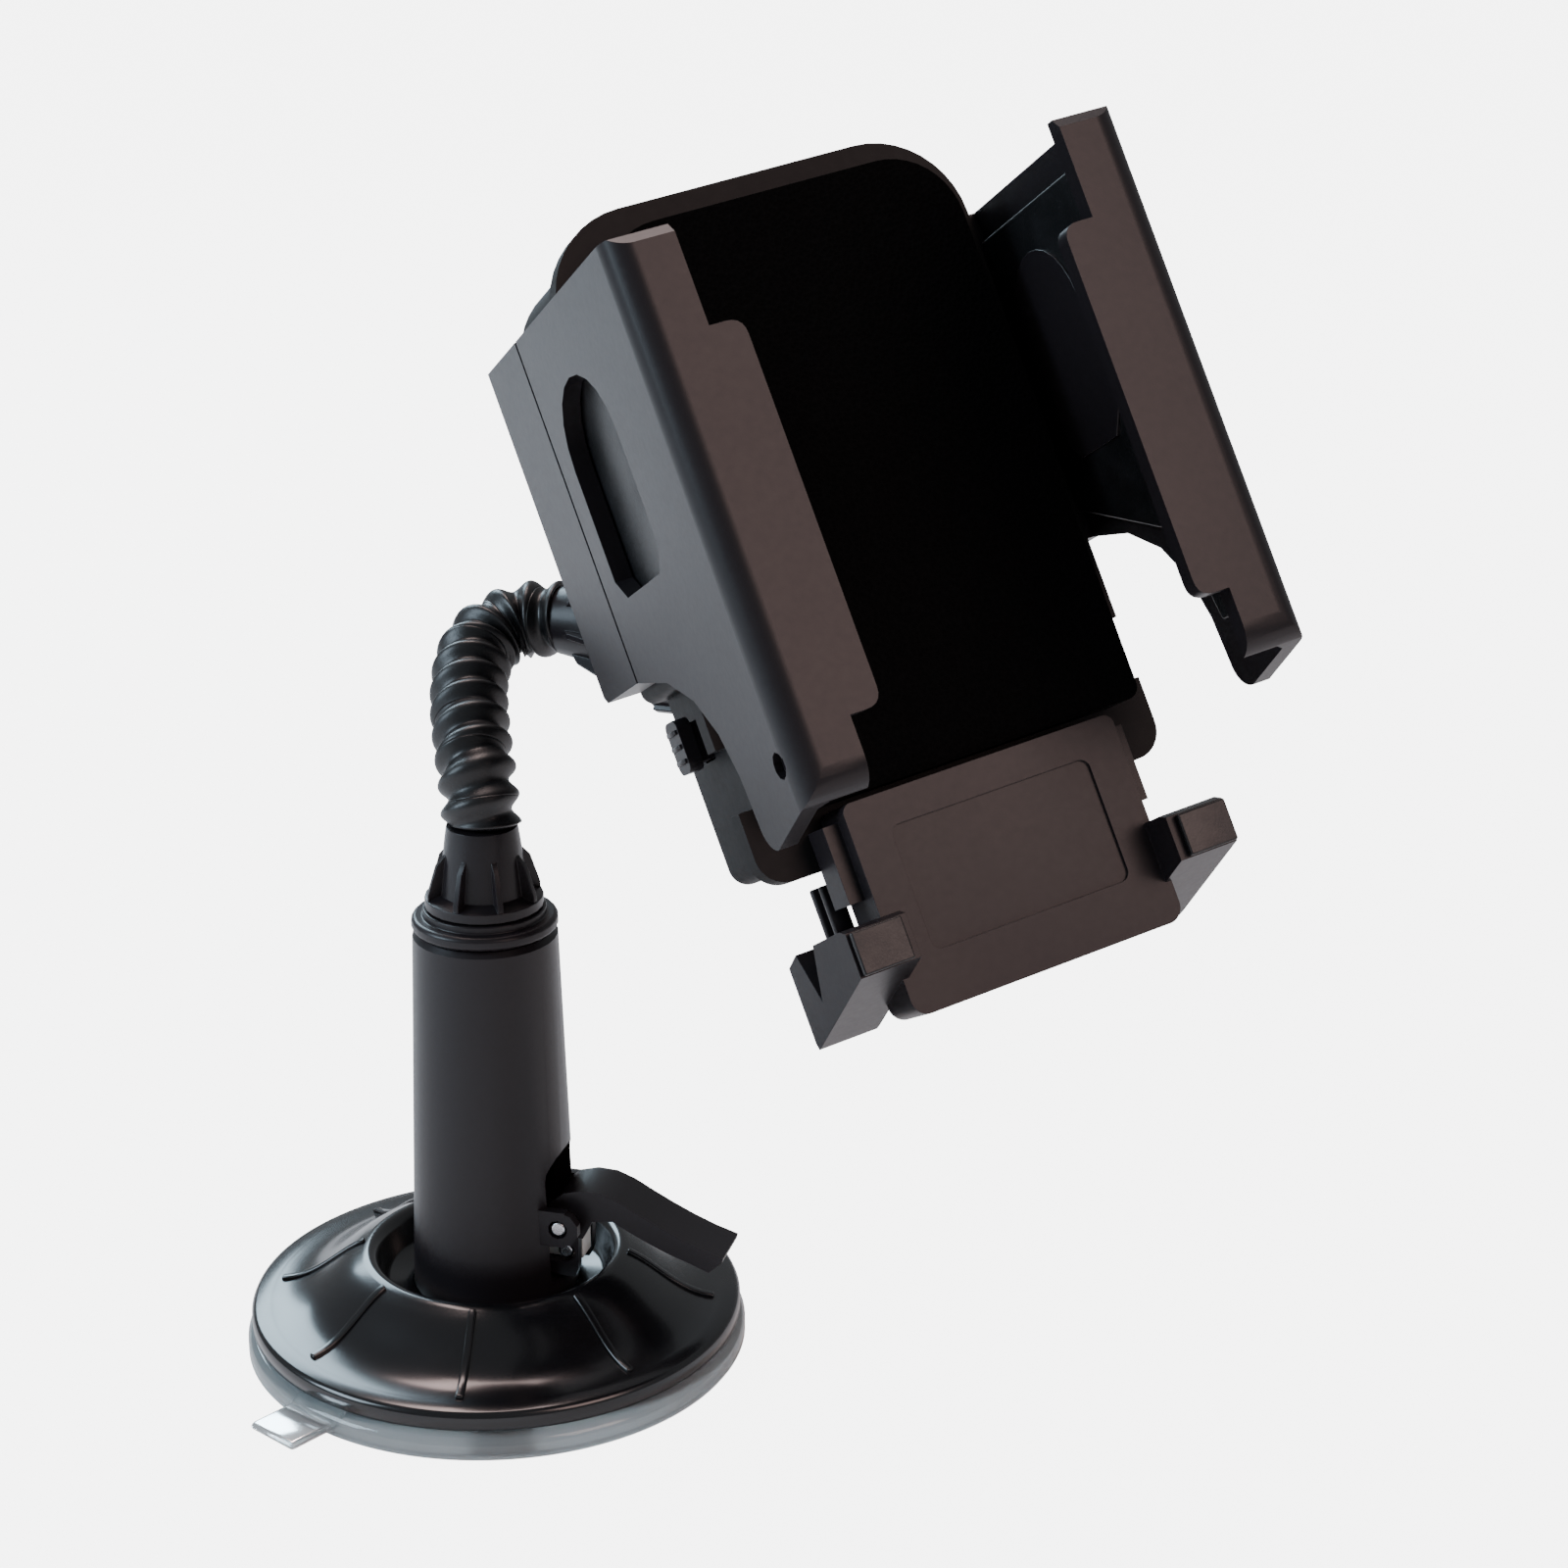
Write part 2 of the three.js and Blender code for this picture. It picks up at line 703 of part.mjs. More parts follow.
function socketBody() {
  const path = new THREE.Path();
  path.moveTo(0, socketOut + 3);
  path.lineTo(socketOut - 0.8, socketOut + 3);
  path.lineTo(socketOut, socketOut + 2);
  path.lineTo(socketOut, -0.8);
  path.lineTo(socketIn, -0.8);
  arc(path, socketIn, -4, 86);
  path.lineTo(0, socketIn);
  return turned(path, 24);
}

const alongHead = (made, place) => {
  const turn = new THREE.Quaternion().setFromUnitVectors(new THREE.Vector3(0, 0, 1), place.line);
  const matrix = new THREE.Matrix4().compose(place.ball, turn, new THREE.Vector3(1, 1, 1));
  return made.transform(matrix.elements);
};

// An elbow from the ball socket up to the disc that carries the cradle.
function swivelBracket(place) {
  const socket = alongHead(socketBody(), place);
  const discFront = housingBack - gap;
  const discBack = discFront - hubThickness;
  const disc = turned(
    [
      [boltRadius + gap, discBack],
      [hubRadius - 1.2, discBack],
      [hubRadius, discBack + 1.2],
      [hubRadius, discFront],
      [boltRadius + gap, discFront],
      [boltRadius + gap, discBack],
    ],
    32,
  ).translate([0, -hubDrop, 0]);
  const from = place.ball.clone().addScaledVector(place.line, socketOut + 0.5);
  const to = new THREE.Vector3(-1.5, -hubDrop - 6.5, discBack + 1);
  const elbow = new THREE.QuadraticBezierCurve3(
    from,
    from.clone().addScaledVector(place.line, 2.5),
    to,
  );
  const bar = swept(elbow, 5.6, 12, 4);
  const clear = rod(5.2, discBack - 20, discBack + 2).translate([0, -hubDrop, 0]);
  const hollow = alongHead(rod(socketIn - 0.4, -9, 3, 24), place);
  return cut(joined(socket, disc, bar), clear, hollow);
}

function hubScrew() {
  const head = housingBack - 2 * gap - hubThickness;
  return panScrew(boltRadius, 4.6, head, housingBack + housingWall + 3.5, 2.4, true).translate([0, -hubDrop, 0]);
}

function hubNut() {
  const low = housingBack + housingWall + gap;
  return cut(rod(4.4, low, low + 3, 6), rod(boltRadius + gap, low - 1, low + 4)).translate([0, -hubDrop, 0]);
}

// ---- Cradle: X across it, Y up its length from the arms' top end, Z out towards the phone ----
function backPlate() {
  const outline = roundedBox(plateHalfWidth, plateBottom, plateTop, plateCorner, lobeRound);
  const notches = [-1, 1].map((side) => {
    const [near, far] = [side * (plateHalfWidth - notchDepth), side * (plateHalfWidth + 1)];
    return block([Math.min(near, far), notchBottom, plateBack - 1], [Math.max(near, far), notchTop, plateFront + 1]);
  });
  const holes = plateScrewPlaces().map((place) => rod(1.3, plateBack - 1, plateFront + 1).translate(place));
  return cut(raised(outline, plateBack, plateFront), notches, holes);
}

function plateScrewPlaces() {
  const across = plateHalfWidth - 9;
  return [
    [-across, housingTop - 8, 0],
    [across, housingTop - 8, 0],
    [-across + 2, plateBottom + 12, 0],
    [across - 2, plateBottom + 12, 0],
  ];
}

// The housing's outline, drawn in by a wall's thickness for its inside, between two depths.
function housingBlock(inset, low, high) {
  const half = plateHalfWidth - 0.4 - inset;
  const wide = roundedBox(half, shoulder + inset, housingTop - inset, plateCorner - 2 - inset, 2);
  const narrow = roundedBox(lowerHalfWidth - inset, plateBottom + 2 + inset, shoulder + 8, 2, 3);
  return joined(raised(wide, low, high), raised(narrow, low, high));
}

function rearHousing() {
  const bottom = plateBottom + 2;
  const outer = housingBlock(0, housingBack, housingFront);
  const inner = housingBlock(housingWall, housingBack + housingWall, housingFront + 1);
  const tongue = sliderHalfWidth - 3 + gap;
  const mouth = block([-tongue, bottom - 1, housingFront - tongueThickness - 2 * gap], [tongue, bottom + 4, housingFront + 1]);
  const racks = [-1, 1].map((hand) => {
    const [low, high] = rackSpan(hand);
    const half = rackDepth / 2 + gap;
    return block([-60, low - gap, rackMiddle - half], [60, high + gap, rackMiddle + half]);
  });
  const buttons = [-1, 1].map((hand) => {
    const [low, high] = hand < 0 ? [-60, 0] : [0, 60];
    return block(
      [low, -buttonDrop - 3 - gap, buttonZ - 2 - gap],
      [high, -buttonDrop + 3 + gap, buttonZ + 2 + gap],
    );
  });
  const posts = plateScrewPlaces().map((place) => rod(2.8, housingBack + 1, housingFront).translate(place));
  const screwHoles = plateScrewPlaces().map((place) => rod(1.1, housingFront - 9, housingFront + 1).translate(place));
  const hub = rod(boltRadius + gap, housingBack - 1, housingBack + 6).translate([0, -hubDrop, 0]);
  return cut(joined(cut(outer, inner, racks, buttons), posts), mouth, screwHoles, hub);
}

function plateScrew(place) {
  return panScrew(0.8, 2.2, 0, 8, 1.2)
    .rotate([180, 0, 0])
    .translate([place[0], place[1], plateFront + gap]);
}

function foamPad() {
  const low = plateFront + gap;
  const shape = roundedBox(plateHalfWidth - padInset, padBottom, plateTop - padTopInset, plateCorner - 3.4, 2);
  const recesses = plateScrewPlaces().map((place) => rod(2.8, low - 1, low + 1.8).translate(place));
  return cut(raised(shape, low, low + padThickness), recesses);
}

// An arm's wall, lip and root, drawn for the right-hand side; hand picks the rack that it screws to.
function armShell(hand) {
  const inner = armHalfSpan - armThickness;
  const lipBack = armFront - lipThickness;
  const section = new THREE.Shape();
  section.moveTo(rootInner, rootBack);
  section.lineTo(armHalfSpan - 2, rootBack);
  section.lineTo(armHalfSpan, rootBack + 2);
  section.lineTo(armHalfSpan, armFront - edgeRound);
  section.absarc(armHalfSpan - edgeRound, armFront - edgeRound, edgeRound, 0, Math.PI / 2);
  section.lineTo(armHalfSpan - lipWidth, armFront);
  section.lineTo(armHalfSpan - lipWidth, lipBack);
  section.lineTo(inner - 1.5, lipBack);
  section.lineTo(inner, lipBack - 1.5);
  section.lineTo(inner, wallBack + 1);
  section.lineTo(rootInner, wallBack + 1);
  const bar = solid(
    new THREE.ExtrudeGeometry(section, { depth: armLength, bevelEnabled: false, curveSegments: 5 })
      .rotateX(Math.PI / 2),
  );
  const profile = acrossX(armSide(), 0, armHalfSpan + 5);
  const window = acrossX(armWindow(), inner - 8, armHalfSpan + 5);
  const pit = rod(1.9, -1.2, 2).rotate([0, 90, 0]).translate([armHalfSpan, -armLength + 10, armFront - 5]);
  const seam = block([armHalfSpan - 0.4, -rootLength - 1, wallBack - 0.3], [armHalfSpan + 1, 1, wallBack + 0.3]);
  const body = joined(bar, raised(armTongue(), lipBack, armFront));
  return cut(body.intersect(profile), window, pit, seam, rackPocket(hand));
}

// The wide part of an arm's lip, which steps in at both ends.
function armTongue() {
  const edge = armHalfSpan - lipWidth;
  const wide = edge - lipExtra;
  const [high, low] = [-0.18 * armLength, -0.84 * armLength];
  const shape = new THREE.Shape();
  shape.moveTo(edge + 1, high);
  shape.lineTo(wide + 2.5, high);
  shape.quadraticCurveTo(wide, high, wide, high - 2.5);
  shape.lineTo(wide, low + 2.5);
  shape.quadraticCurveTo(wide, low, wide + 2.5, low);
  shape.lineTo(edge + 1, low);
  return shape;
}

// Where a rack's end sits in an arm's root, with the hole for its screw from the back.
function rackPocket(hand) {
  const [low, high] = rackSpan(hand);
  const half = rackDepth / 2 + gap;
  const pocket = block(
    [rootInner - 1, low - gap, rackMiddle - half],
    [rackEnd + gap, high + gap, rackMiddle + half],
  );
  const hole = rod(1.1, rootBack - 1, rackMiddle).translate([armScrewAcross, rackY(hand), 0]);
  const sink = rod(1.8, rootBack - 1, rootBack + armScrewSink).translate([armScrewAcross, rackY(hand), 0]);
  return joined(pocket, hole, sink);
}

// Outline of an arm seen from the side, as [along the arm, depth].
function armSide() {
  const frontCorner = 4;
  const slant = 4; // the front of the end is this much higher than its back
  const keep = wallKeep;
  const side = new THREE.Shape();
  side.moveTo(0, rootBack + 2);
  side.lineTo(0, armFront - 1.5);
  side.lineTo(-1.5, armFront);
  side.lineTo(-armLength + slant + frontCorner, armFront);
  side.quadraticCurveTo(-armLength + slant, armFront, -armLength + slant - 0.8, armFront - frontCorner);
  side.lineTo(-armLength, keep + 4);
  side.absarc(-armLength + 4, keep + 4, 4, Math.PI, 1.5 * Math.PI);
  side.bezierCurveTo(-rootLength - 14, keep, -rootLength - 2, keep - 4, -rootLength, wallBack);
  side.lineTo(-rootLength, rootBack + 3);
  side.lineTo(-rootLength + 3, rootBack);
  side.lineTo(-2, rootBack);
  return side;
}

function armWindow() {
  const low = wallBack + 0.12 * (armFront - wallBack);
  const high = wallBack + 0.58 * (armFront - wallBack);
  const arch = (high - low) / 2;
  const slot = new THREE.Shape();
  slot.moveTo(-41, low + 3);
  slot.lineTo(-38, low);
  slot.lineTo(-10.3 - arch, low);
  slot.absarc(-10.3 - arch, low + arch, arch, -Math.PI / 2, Math.PI / 2);
  slot.lineTo(-38, high);
  slot.lineTo(-41, high - 3);
  return slot;
}

// A soft lining inside an arm's wall; it closes the wall's window.
function gripPad() {
  const back = armHalfSpan - armThickness - gap;
  const outline = [
    [-5, wallBack + 2.5],
    [-5, armFront - lipThickness - 2],
    [-armLength + 10, armFront - lipThickness - 2],
    [-armLength + 10, wallKeep + 5],
    [-rootLength - 6, wallKeep + 2],
    [-rootLength + 4, wallBack + 2.5],
  ];
  return acrossX(outline, back - 1.3, back);
}

const rackY = (hand) => -pinionDrop + hand * (pinionPitch + rackWidth / 2 + 0.1);
const rackSpan = (hand) => [rackY(hand) - rackWidth / 2, rackY(hand) + rackWidth / 2];
const rackEnd = rootInner + 3.9;

// A toothed bar from the arm's root across the housing; hand is 1 for the right arm.
function rack(hand) {
  const [low, high] = rackSpan(1);
  const start = -armTravel - 6;
  const bar = block([start, low + 1, rackMiddle - rackDepth / 2], [rackEnd, high, rackMiddle + rackDepth / 2]);
  const pitch = (2 * Math.PI * pinionPitch) / pinionTeeth;
  const count = Math.floor((3 - start) / pitch);
  const teeth = Array.from({ length: count }, (_, i) => {
    const x = (2.5 - i) * pitch;
    const tooth = [
      [x - pitch * 0.22, low + 1.2],
      [x - pitch * 0.08, low],
      [x + pitch * 0.08, low],
      [x + pitch * 0.22, low + 1.2],
    ];
    return raised(tooth, rackMiddle - rackDepth / 2, rackMiddle + rackDepth / 2);
  });
  const hole = rod(1.1, rackMiddle - 3, rackMiddle + 1.4).translate([armScrewAcross, rackY(1), 0]);
  const made = cut(joined(bar, teeth), hole);
  return hand > 0 ? made : made.translate([0, pinionDrop, 0]).rotate([0, 0, 180]).translate([0, -pinionDrop, 0]);
}

function armScrew(hand) {
  const head = rootBack + armScrewSink - gap;
  return panScrew(0.8, 1.5, head, rackMiddle + 1, 0.9, true).translate([armScrewAcross, rackY(hand), 0]);
}

function pinion() {
  const root = pinionPitch - 0.6;
  const low = rackMiddle - pinionHeight / 2;
  const tooth = [
    [root - 0.6, -0.62],
    [pinionPitch + 0.55, -0.24],
    [pinionPitch + 0.55, 0.24],
    [root - 0.6, 0.62],
  ];
  const teeth = ringOf(pinionTeeth, (i, angle) =>
    raised(tooth, low, low + pinionHeight).rotate([0, 0, angle + 90]),
  );
  const disc = joined(rod(root, low, low + pinionHeight, 24), teeth);
  return cut(disc, rod(axleRadius + gap, low - 1, low + pinionHeight + 1)).translate([0, -pinionDrop, 0]);
}

function pinionAxle() {
  const low = housingBack + housingWall + gap;
  const flange = rod(3, low, low + 1);
  return joined(flange, rod(axleRadius, low, housingFront - tongueThickness)).translate([0, -pinionDrop, 0]);
}

const openingSpring = () =>
  coil(axleRadius + 1.2, 0.4, rackMiddle + pinionHeight / 2 + gap, housingFront - 1, 4).translate([0, -pinionDrop, 0]);

// ---- Release buttons and pawl ----
const buttonZ = rackMiddle;

function releaseButton() {
  const out = lowerHalfWidth + buttonTravel + 2.7;
  const cap = raised(
    roundedBox(2.6, -buttonHeight / 2, buttonHeight / 2, 1.4, 1.4),
    0,
    2.2,
  ).rotate([0, 90, 0]);
  const stem = block([lowerHalfWidth - 9, -3, -2], [out - 2, 3, 2]);
  return joined(stem, cap.translate([out - 2.2, 0, 0])).translate([0, -buttonDrop, buttonZ]);
}

function buttonSpring() {
  const inner = lowerHalfWidth - 9 - gap;
  return coil(1.5, 0.35, inner - 8, inner - buttonTravel, 4).rotate([0, 90, 0]).translate([0, -buttonDrop, buttonZ]);
}

function pawl() {
  const [low] = rackSpan(-1);
  const top = low - 0.4;
  const bar = block([8, top - 9, rackMiddle - 1.5], [13, top - 1, rackMiddle + 1.5]);
  const nose = raised(
    [
      [8, top - 1.2],
      [13, top - 1.2],
      [11, top],
      [10, top],
    ],
    rackMiddle - 1.5,
    rackMiddle + 1.5,
  );
  return joined(bar, nose);
}

// ---- Sliding foot ----
function footSlider() {
  const front = raised(
    roundedBox(sliderHalfWidth, sliderBottom, sliderTop, 1.5, 2.5),
    plateFront + gap,
    sliderFront,
  );
  const panel = raised(
    roundedBox(sliderHalfWidth - 6, sliderBottom + 8, sliderTop - 5, 1.5, 1.5),
    sliderFront - 0.5,
    sliderFront + 1,
  );
  const tongueHalf = sliderHalfWidth - 3;
  const tongueFront = housingFront - gap;
  const under = plateBottom - gap;
  const web = block([-tongueHalf, sliderBottom + 4, tongueFront - tongueThickness], [tongueHalf, under, plateFront + 1]);
  const tongue = block(
    [-tongueHalf, sliderBottom + 6, tongueFront - tongueThickness],
    [tongueHalf, tongueTop, tongueFront],
  );
  const side = sliderHalfWidth;
  const wing = block(
    [-side - wingWidth, wingBottom, plateFront + gap],
    [side + wingWidth, sliderTop - 2, sliderFront - 3],
  );
  const feet = [
    acrossX(footOutline(), -side - footWidth, -side + 1),
    acrossX(footOutline(), side - 1, side + footWidth),
  ];
  return cut(joined(front, web, tongue, wing, feet), panel);
}

// A foot seen from the side, as [along the cradle, depth], with a V-shaped notch in its upper edge.
function footOutline() {
  return [
    [sliderBottom, footBack + 0.5],
    [sliderBottom + 1, footBack],
    [sliderBottom + 12.5, footBack],
    [sliderBottom + 14, footBack + 4.5],
    [sliderBottom + 6.5, footBack + 8.5],
    [sliderBottom + 14.5, footBack + 12.5],
    [sliderBottom + 15, footFront - 2],
    [sliderBottom + 14.5, footFront],
    [sliderBottom + 8, footFront],
    [sliderBottom + 0.4, footBack + 2],
  ];
}

function footTip() {
  const side = sliderHalfWidth + footWidth;
  const low = footFront + gap;
  return block([side - footWidth + 0.3, sliderBottom + 8.2, low], [side - 0.3, sliderBottom + 14.4, low + 1]);
}

const mirrored = (made) => made.mirror([1, 0, 0]);

function addHead(parent, place) {
  add(parent, "ball_liner", whiteNylon(), alongHead(ballLiner(), place));
  add(parent, "clamp_nut", satinBlack(), alongHead(clampNut(), place));
  add(parent, "swivel_bracket", satinBlack(), swivelBracket(place));
  add(parent, "hub_screw", polishedSteel(), hubScrew());
  add(parent, "hub_nut", polishedSteel(), hubNut());
}

function addCradle(parent) {
  add(parent, "back_plate", mattBlack(), backPlate());
  add(parent, "rear_housing", mattBlack(), rearHousing());
  plateScrewPlaces().forEach((place, i) => {
    add(parent, `plate_screw_${i + 1}`, polishedSteel(), plateScrew(place));
  });
  add(parent, "foam_pad", blackFoam(), foamPad());
  add(parent, "right_arm", satinBlack(), armShell(1));
  add(parent, "left_arm", satinBlack(), mirrored(armShell(-1)));
  add(parent, "right_arm_screw", polishedSteel(), armScrew(1));
  add(parent, "left_arm_screw", polishedSteel(), mirrored(armScrew(-1)));
  add(parent, "right_grip_pad", blackRubber(), gripPad());
  add(parent, "left_grip_pad", blackRubber(), mirrored(gripPad()));
  add(parent, "right_rack", whiteNylon(), rack(1));
  add(parent, "left_rack", whiteNylon(), rack(-1));
  add(parent, "pinion", whiteNylon(), pinion());
  add(parent, "pinion_axle", polishedSteel(), pinionAxle());
  add(parent, "arm_opening_spring", polishedSteel(), openingSpring());
  add(parent, "right_release_button", satinBlack(), releaseButton());
  add(parent, "left_release_button", satinBlack(), mirrored(releaseButton()));
  add(parent, "right_button_spring", polishedSteel(), buttonSpring());
  add(parent, "left_button_spring", polishedSteel(), mirrored(buttonSpring()));
  add(parent, "ratchet_pawl", whiteNylon(), pawl());
  add(parent, "foot_slider", satinBlack(), footSlider());
  add(parent, "right_foot_tip", blackRubber(), footTip());
  add(parent, "left_foot_tip", blackRubber(), mirrored(footTip()));
}

// ---- The whole mount ----
const mount = new THREE.Group();

const base = new THREE.Group();
base.rotation.z = radians(leverAzimuth);
addBase(base);
mount.add(base);

add(mount, "collar_ring", satinBlack(), collarRing());
const lowerBore = 8;
add(mount, "lower_ferrule", satinBlack(), ferrule(ferruleLength, lowerBore).translate([0, 0, ferruleBase]));
add(mount, "neck_bolt", polishedSteel(), neckBolt(ferruleBase + lowerBore - 1));
add(mount, "neck_washer", whiteNylon(), neckWasher());

const cradle = new THREE.Group();
const lean = radians(cradleLean);
const roll = radians(cradleRoll);
const outward = new THREE.Vector3(0, -Math.cos(lean), Math.sin(lean));
const upright = new THREE.Vector3(0, Math.sin(lean), Math.cos(lean));
const across = new THREE.Vector3(Math.cos(roll), 0, 0).addScaledVector(upright, Math.sin(roll));
const along = new THREE.Vector3().crossVectors(outward, across);
cradle.matrixAutoUpdate = false;
cradle.matrix.makeBasis(across, along, outward).setPosition(cradlePlace);
const ball = ballInCradle.clone().applyMatrix4(cradle.matrix);
const place = {
  ball: ballInCradle,
  line: new THREE.Vector3(headLine.dot(across), headLine.dot(along), headLine.dot(outward)),
};
addHead(cradle, place);
addCradle(cradle);
mount.add(cradle);

const neck = neckCurve(ball);
addNeck(mount, neck);
const headPlace = { ball, line: headLine };
const flipped = ferrule(upperFerruleLength, 7.6).rotate([180, 0, 0]).translate([0, 0, -stemLength]);
add(mount, "upper_ferrule", satinBlack(), alongHead(flipped, headPlace));
add(mount, "ball_stud", polishedSteel(), alongHead(ballStud(), headPlace));

export default mount;
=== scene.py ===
import json
import math

import bmesh
import bpy
from mathutils import Matrix, Vector

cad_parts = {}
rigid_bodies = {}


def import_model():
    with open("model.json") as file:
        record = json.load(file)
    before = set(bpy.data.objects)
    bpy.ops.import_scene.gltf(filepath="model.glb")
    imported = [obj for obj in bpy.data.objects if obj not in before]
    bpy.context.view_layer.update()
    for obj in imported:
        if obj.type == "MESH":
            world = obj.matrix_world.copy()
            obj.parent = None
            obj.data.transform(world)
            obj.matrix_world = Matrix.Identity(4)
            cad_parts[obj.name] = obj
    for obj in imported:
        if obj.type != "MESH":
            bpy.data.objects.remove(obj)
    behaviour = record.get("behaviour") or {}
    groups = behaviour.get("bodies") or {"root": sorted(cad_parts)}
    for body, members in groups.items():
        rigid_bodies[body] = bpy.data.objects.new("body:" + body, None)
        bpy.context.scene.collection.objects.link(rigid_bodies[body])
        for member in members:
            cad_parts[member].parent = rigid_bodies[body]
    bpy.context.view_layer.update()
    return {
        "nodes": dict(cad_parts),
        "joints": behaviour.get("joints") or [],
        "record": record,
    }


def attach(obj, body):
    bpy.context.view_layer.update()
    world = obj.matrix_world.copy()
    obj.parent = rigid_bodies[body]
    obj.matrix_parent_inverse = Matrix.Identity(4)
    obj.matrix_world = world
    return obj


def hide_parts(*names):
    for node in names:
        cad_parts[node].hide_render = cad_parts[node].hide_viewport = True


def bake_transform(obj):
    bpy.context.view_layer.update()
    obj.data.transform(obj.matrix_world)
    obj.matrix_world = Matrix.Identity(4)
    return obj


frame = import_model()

bl_info = {
    "name": "Car Phone Mount",
    "version": (1, 0, 0),
    "blender": (4, 5, 0),
    "location": "View3D > Sidebar > Phone Mount",
    "description": "Finishes a car phone mount: suction base, spiral neck, ball head and sprung cradle",
    "category": "Object",
}

MM = 0.001
JOINTS = {joint["name"]: joint for joint in frame["joints"]}
BODIES = frame["record"]["behaviour"]["bodies"]
BODY_OF = {node: body for body, nodes in BODIES.items() for node in nodes}
SLOT_OF = {part["node"]: part["material_slot"] for part in frame["record"]["subparts"]}


# ---- Places in the frame ----
def axis(joint):
    return Vector(JOINTS[joint]["axis"])


def pivot(joint):
    return Vector(JOINTS[joint]["pos_m"])


def basis(x, y, z, origin):
    """The matrix whose columns are three directions and a place."""
    return Matrix.Translation(origin) @ Matrix((x, y, z)).transposed().to_4x4()


# How far the hub lies below the arms' top end and behind the cradle's own zero depth.
HUB_DROP = 36 * MM
HUB_DEPTH = 33.3 * MM

# Places on the cradle, in millimetres: across it from its middle, along it from the arms' top end,
# and forward from its own zero depth. Drops are measured down and the rest have a sign.
WALL_BACK = -15.1
LINING = 34.9
SLIDER_HALF = 22.2
BUTTON_DROP = 62.0
BUTTON_DEPTH = -24.3
BUTTON_FACE = 33.6

ACROSS = axis("arm_spread")
OUTWARD = axis("head_roll")
ALONG = -axis("foot_slide")
CRADLE_ORIGIN = pivot("head_roll") + ALONG * HUB_DROP + OUTWARD * HUB_DEPTH
CRADLE = basis(ACROSS, ALONG, OUTWARD, CRADLE_ORIGIN)
HEAD_LINE = axis("head_pan").cross(axis("head_tilt")).normalized()
LEVER_SIDE = -axis("lever_throw")
LEVER_TURN = math.atan2(-LEVER_SIDE.x, LEVER_SIDE.y)
BASE = Matrix.Rotation(LEVER_TURN, 4, "Z")
NECK_JOINTS = sorted(
    (name for name in JOINTS if name.startswith("neck_bend_")),
    key=lambda name: int(name.split("_")[-1]),
)


# ---- Shader maths ----
class Amount:
    """A shader socket that adds its own Math nodes when it is used in a sum."""

    def __init__(self, shader, socket):
        self.shader = shader
        self.socket = socket

    def _math(self, operation, first, second):
        node = self.shader.add("ShaderNodeMath", {"operation": operation}, {0: first, 1: second})
        return Amount(self.shader, node.outputs[0])

    def __add__(self, other):
        return self._math("ADD", self, other)

    def __sub__(self, other):
        return self._math("SUBTRACT", self, other)

    def __mul__(self, other):
        return self._math("MULTIPLY", self, other)

    __radd__ = __add__

    def between(self, low, high):
        """0 below low, 1 above high, and a smooth ramp from one to the other."""
        node = self.shader.add(
            "ShaderNodeMapRange",
            {"interpolation_type": "SMOOTHSTEP"},
            {"Value": self, "From Min": low, "From Max": high},
        )
        return Amount(self.shader, node.outputs[0])


class Shader:
    """A new material with one Principled shader, and a single way to add every other node."""

    def __init__(self, name):
        self.material = bpy.data.materials.new(name)
        self.material.use_nodes = True
        self.tree = self.material.node_tree
        self.surface = self.tree.nodes["Principled BSDF"]

    def add(self, kind, settings=None, values=None):
        node = self.tree.nodes.new(kind)
        for key, value in (settings or {}).items():
            setattr(node, key, value)
        for key, value in (values or {}).items():
            self.put(node.inputs[key], value)
        return node

    def put(self, socket, value):
        if isinstance(value, Amount):
            value = value.socket
        if isinstance(value, bpy.types.NodeSocket):
            self.tree.links.new(value, socket)
        else:
            socket.default_value = value

    def set(self, **values):
        for key, value in values.items():
            self.put(self.surface.inputs[key.replace("_", " ")], value)

    def place(self):
        return self.add("ShaderNodeTexCoord").outputs["Object"]

    def noise(self, scale, detail, roughness=0.5, stretch=None):
        where = self.place()
        if stretch:
            where = self.add("ShaderNodeMapping", {}, {"Vector": where, "Scale": stretch}).outputs[0]
        values = {"Vector": where, "Scale": scale, "Detail": detail, "Roughness": roughness}
        return Amount(self, self.add("ShaderNodeTexNoise", {}, values).outputs[0])

    def cells(self, scale):
        values = {"Vector": self.place(), "Scale": scale}
        return Amount(self, self.add("ShaderNodeTexVoronoi", {}, values).outputs["Distance"])

    def blend(self, share, first, second):
        values = {0: share, 6: rgba(first), 7: rgba(second)}
        return self.add("ShaderNodeMix", {"data_type": "RGBA"}, values).outputs[2]

    def relief(self, height, strength, distance):
        values = {"Height": height, "Strength": strength, "Distance": distance}
        self.set(Normal=self.add("ShaderNodeBump", {}, values).outputs[0])


def rgba(colour):
    return colour if isinstance(colour, bpy.types.NodeSocket) else (*colour, 1.0)


def scaled(colour, factor):
    return tuple(min(1.0, channel * factor) for channel in colour)


# ---- Finishes ----
def moulded_plastic(name, colour, roughness, grain=900.0, depth=0.04, shine=0.32):
    """Moulded black plastic: a faint cloudiness over fine spark-eroded grain."""
    shader = Shader(name)
    cloud = shader.noise(26.0, 4.0)
    smears = shader.noise(9.0, 3.0, 0.6, stretch=(1.0, 1.0, 0.35)).between(0.4, 0.75)
    grains = shader.noise(grain, 2.0, 0.7)
    shader.set(
        Base_Color=shader.blend(cloud, scaled(colour, 0.8), scaled(colour, 1.25)),
        Roughness=roughness + smears * 0.06 + (cloud - 0.5) * 0.08 + (grains - 0.5) * 0.08,
        Specular_IOR_Level=shine,
    )
    shader.relief(grains, depth, 0.0002)
    return shader.material


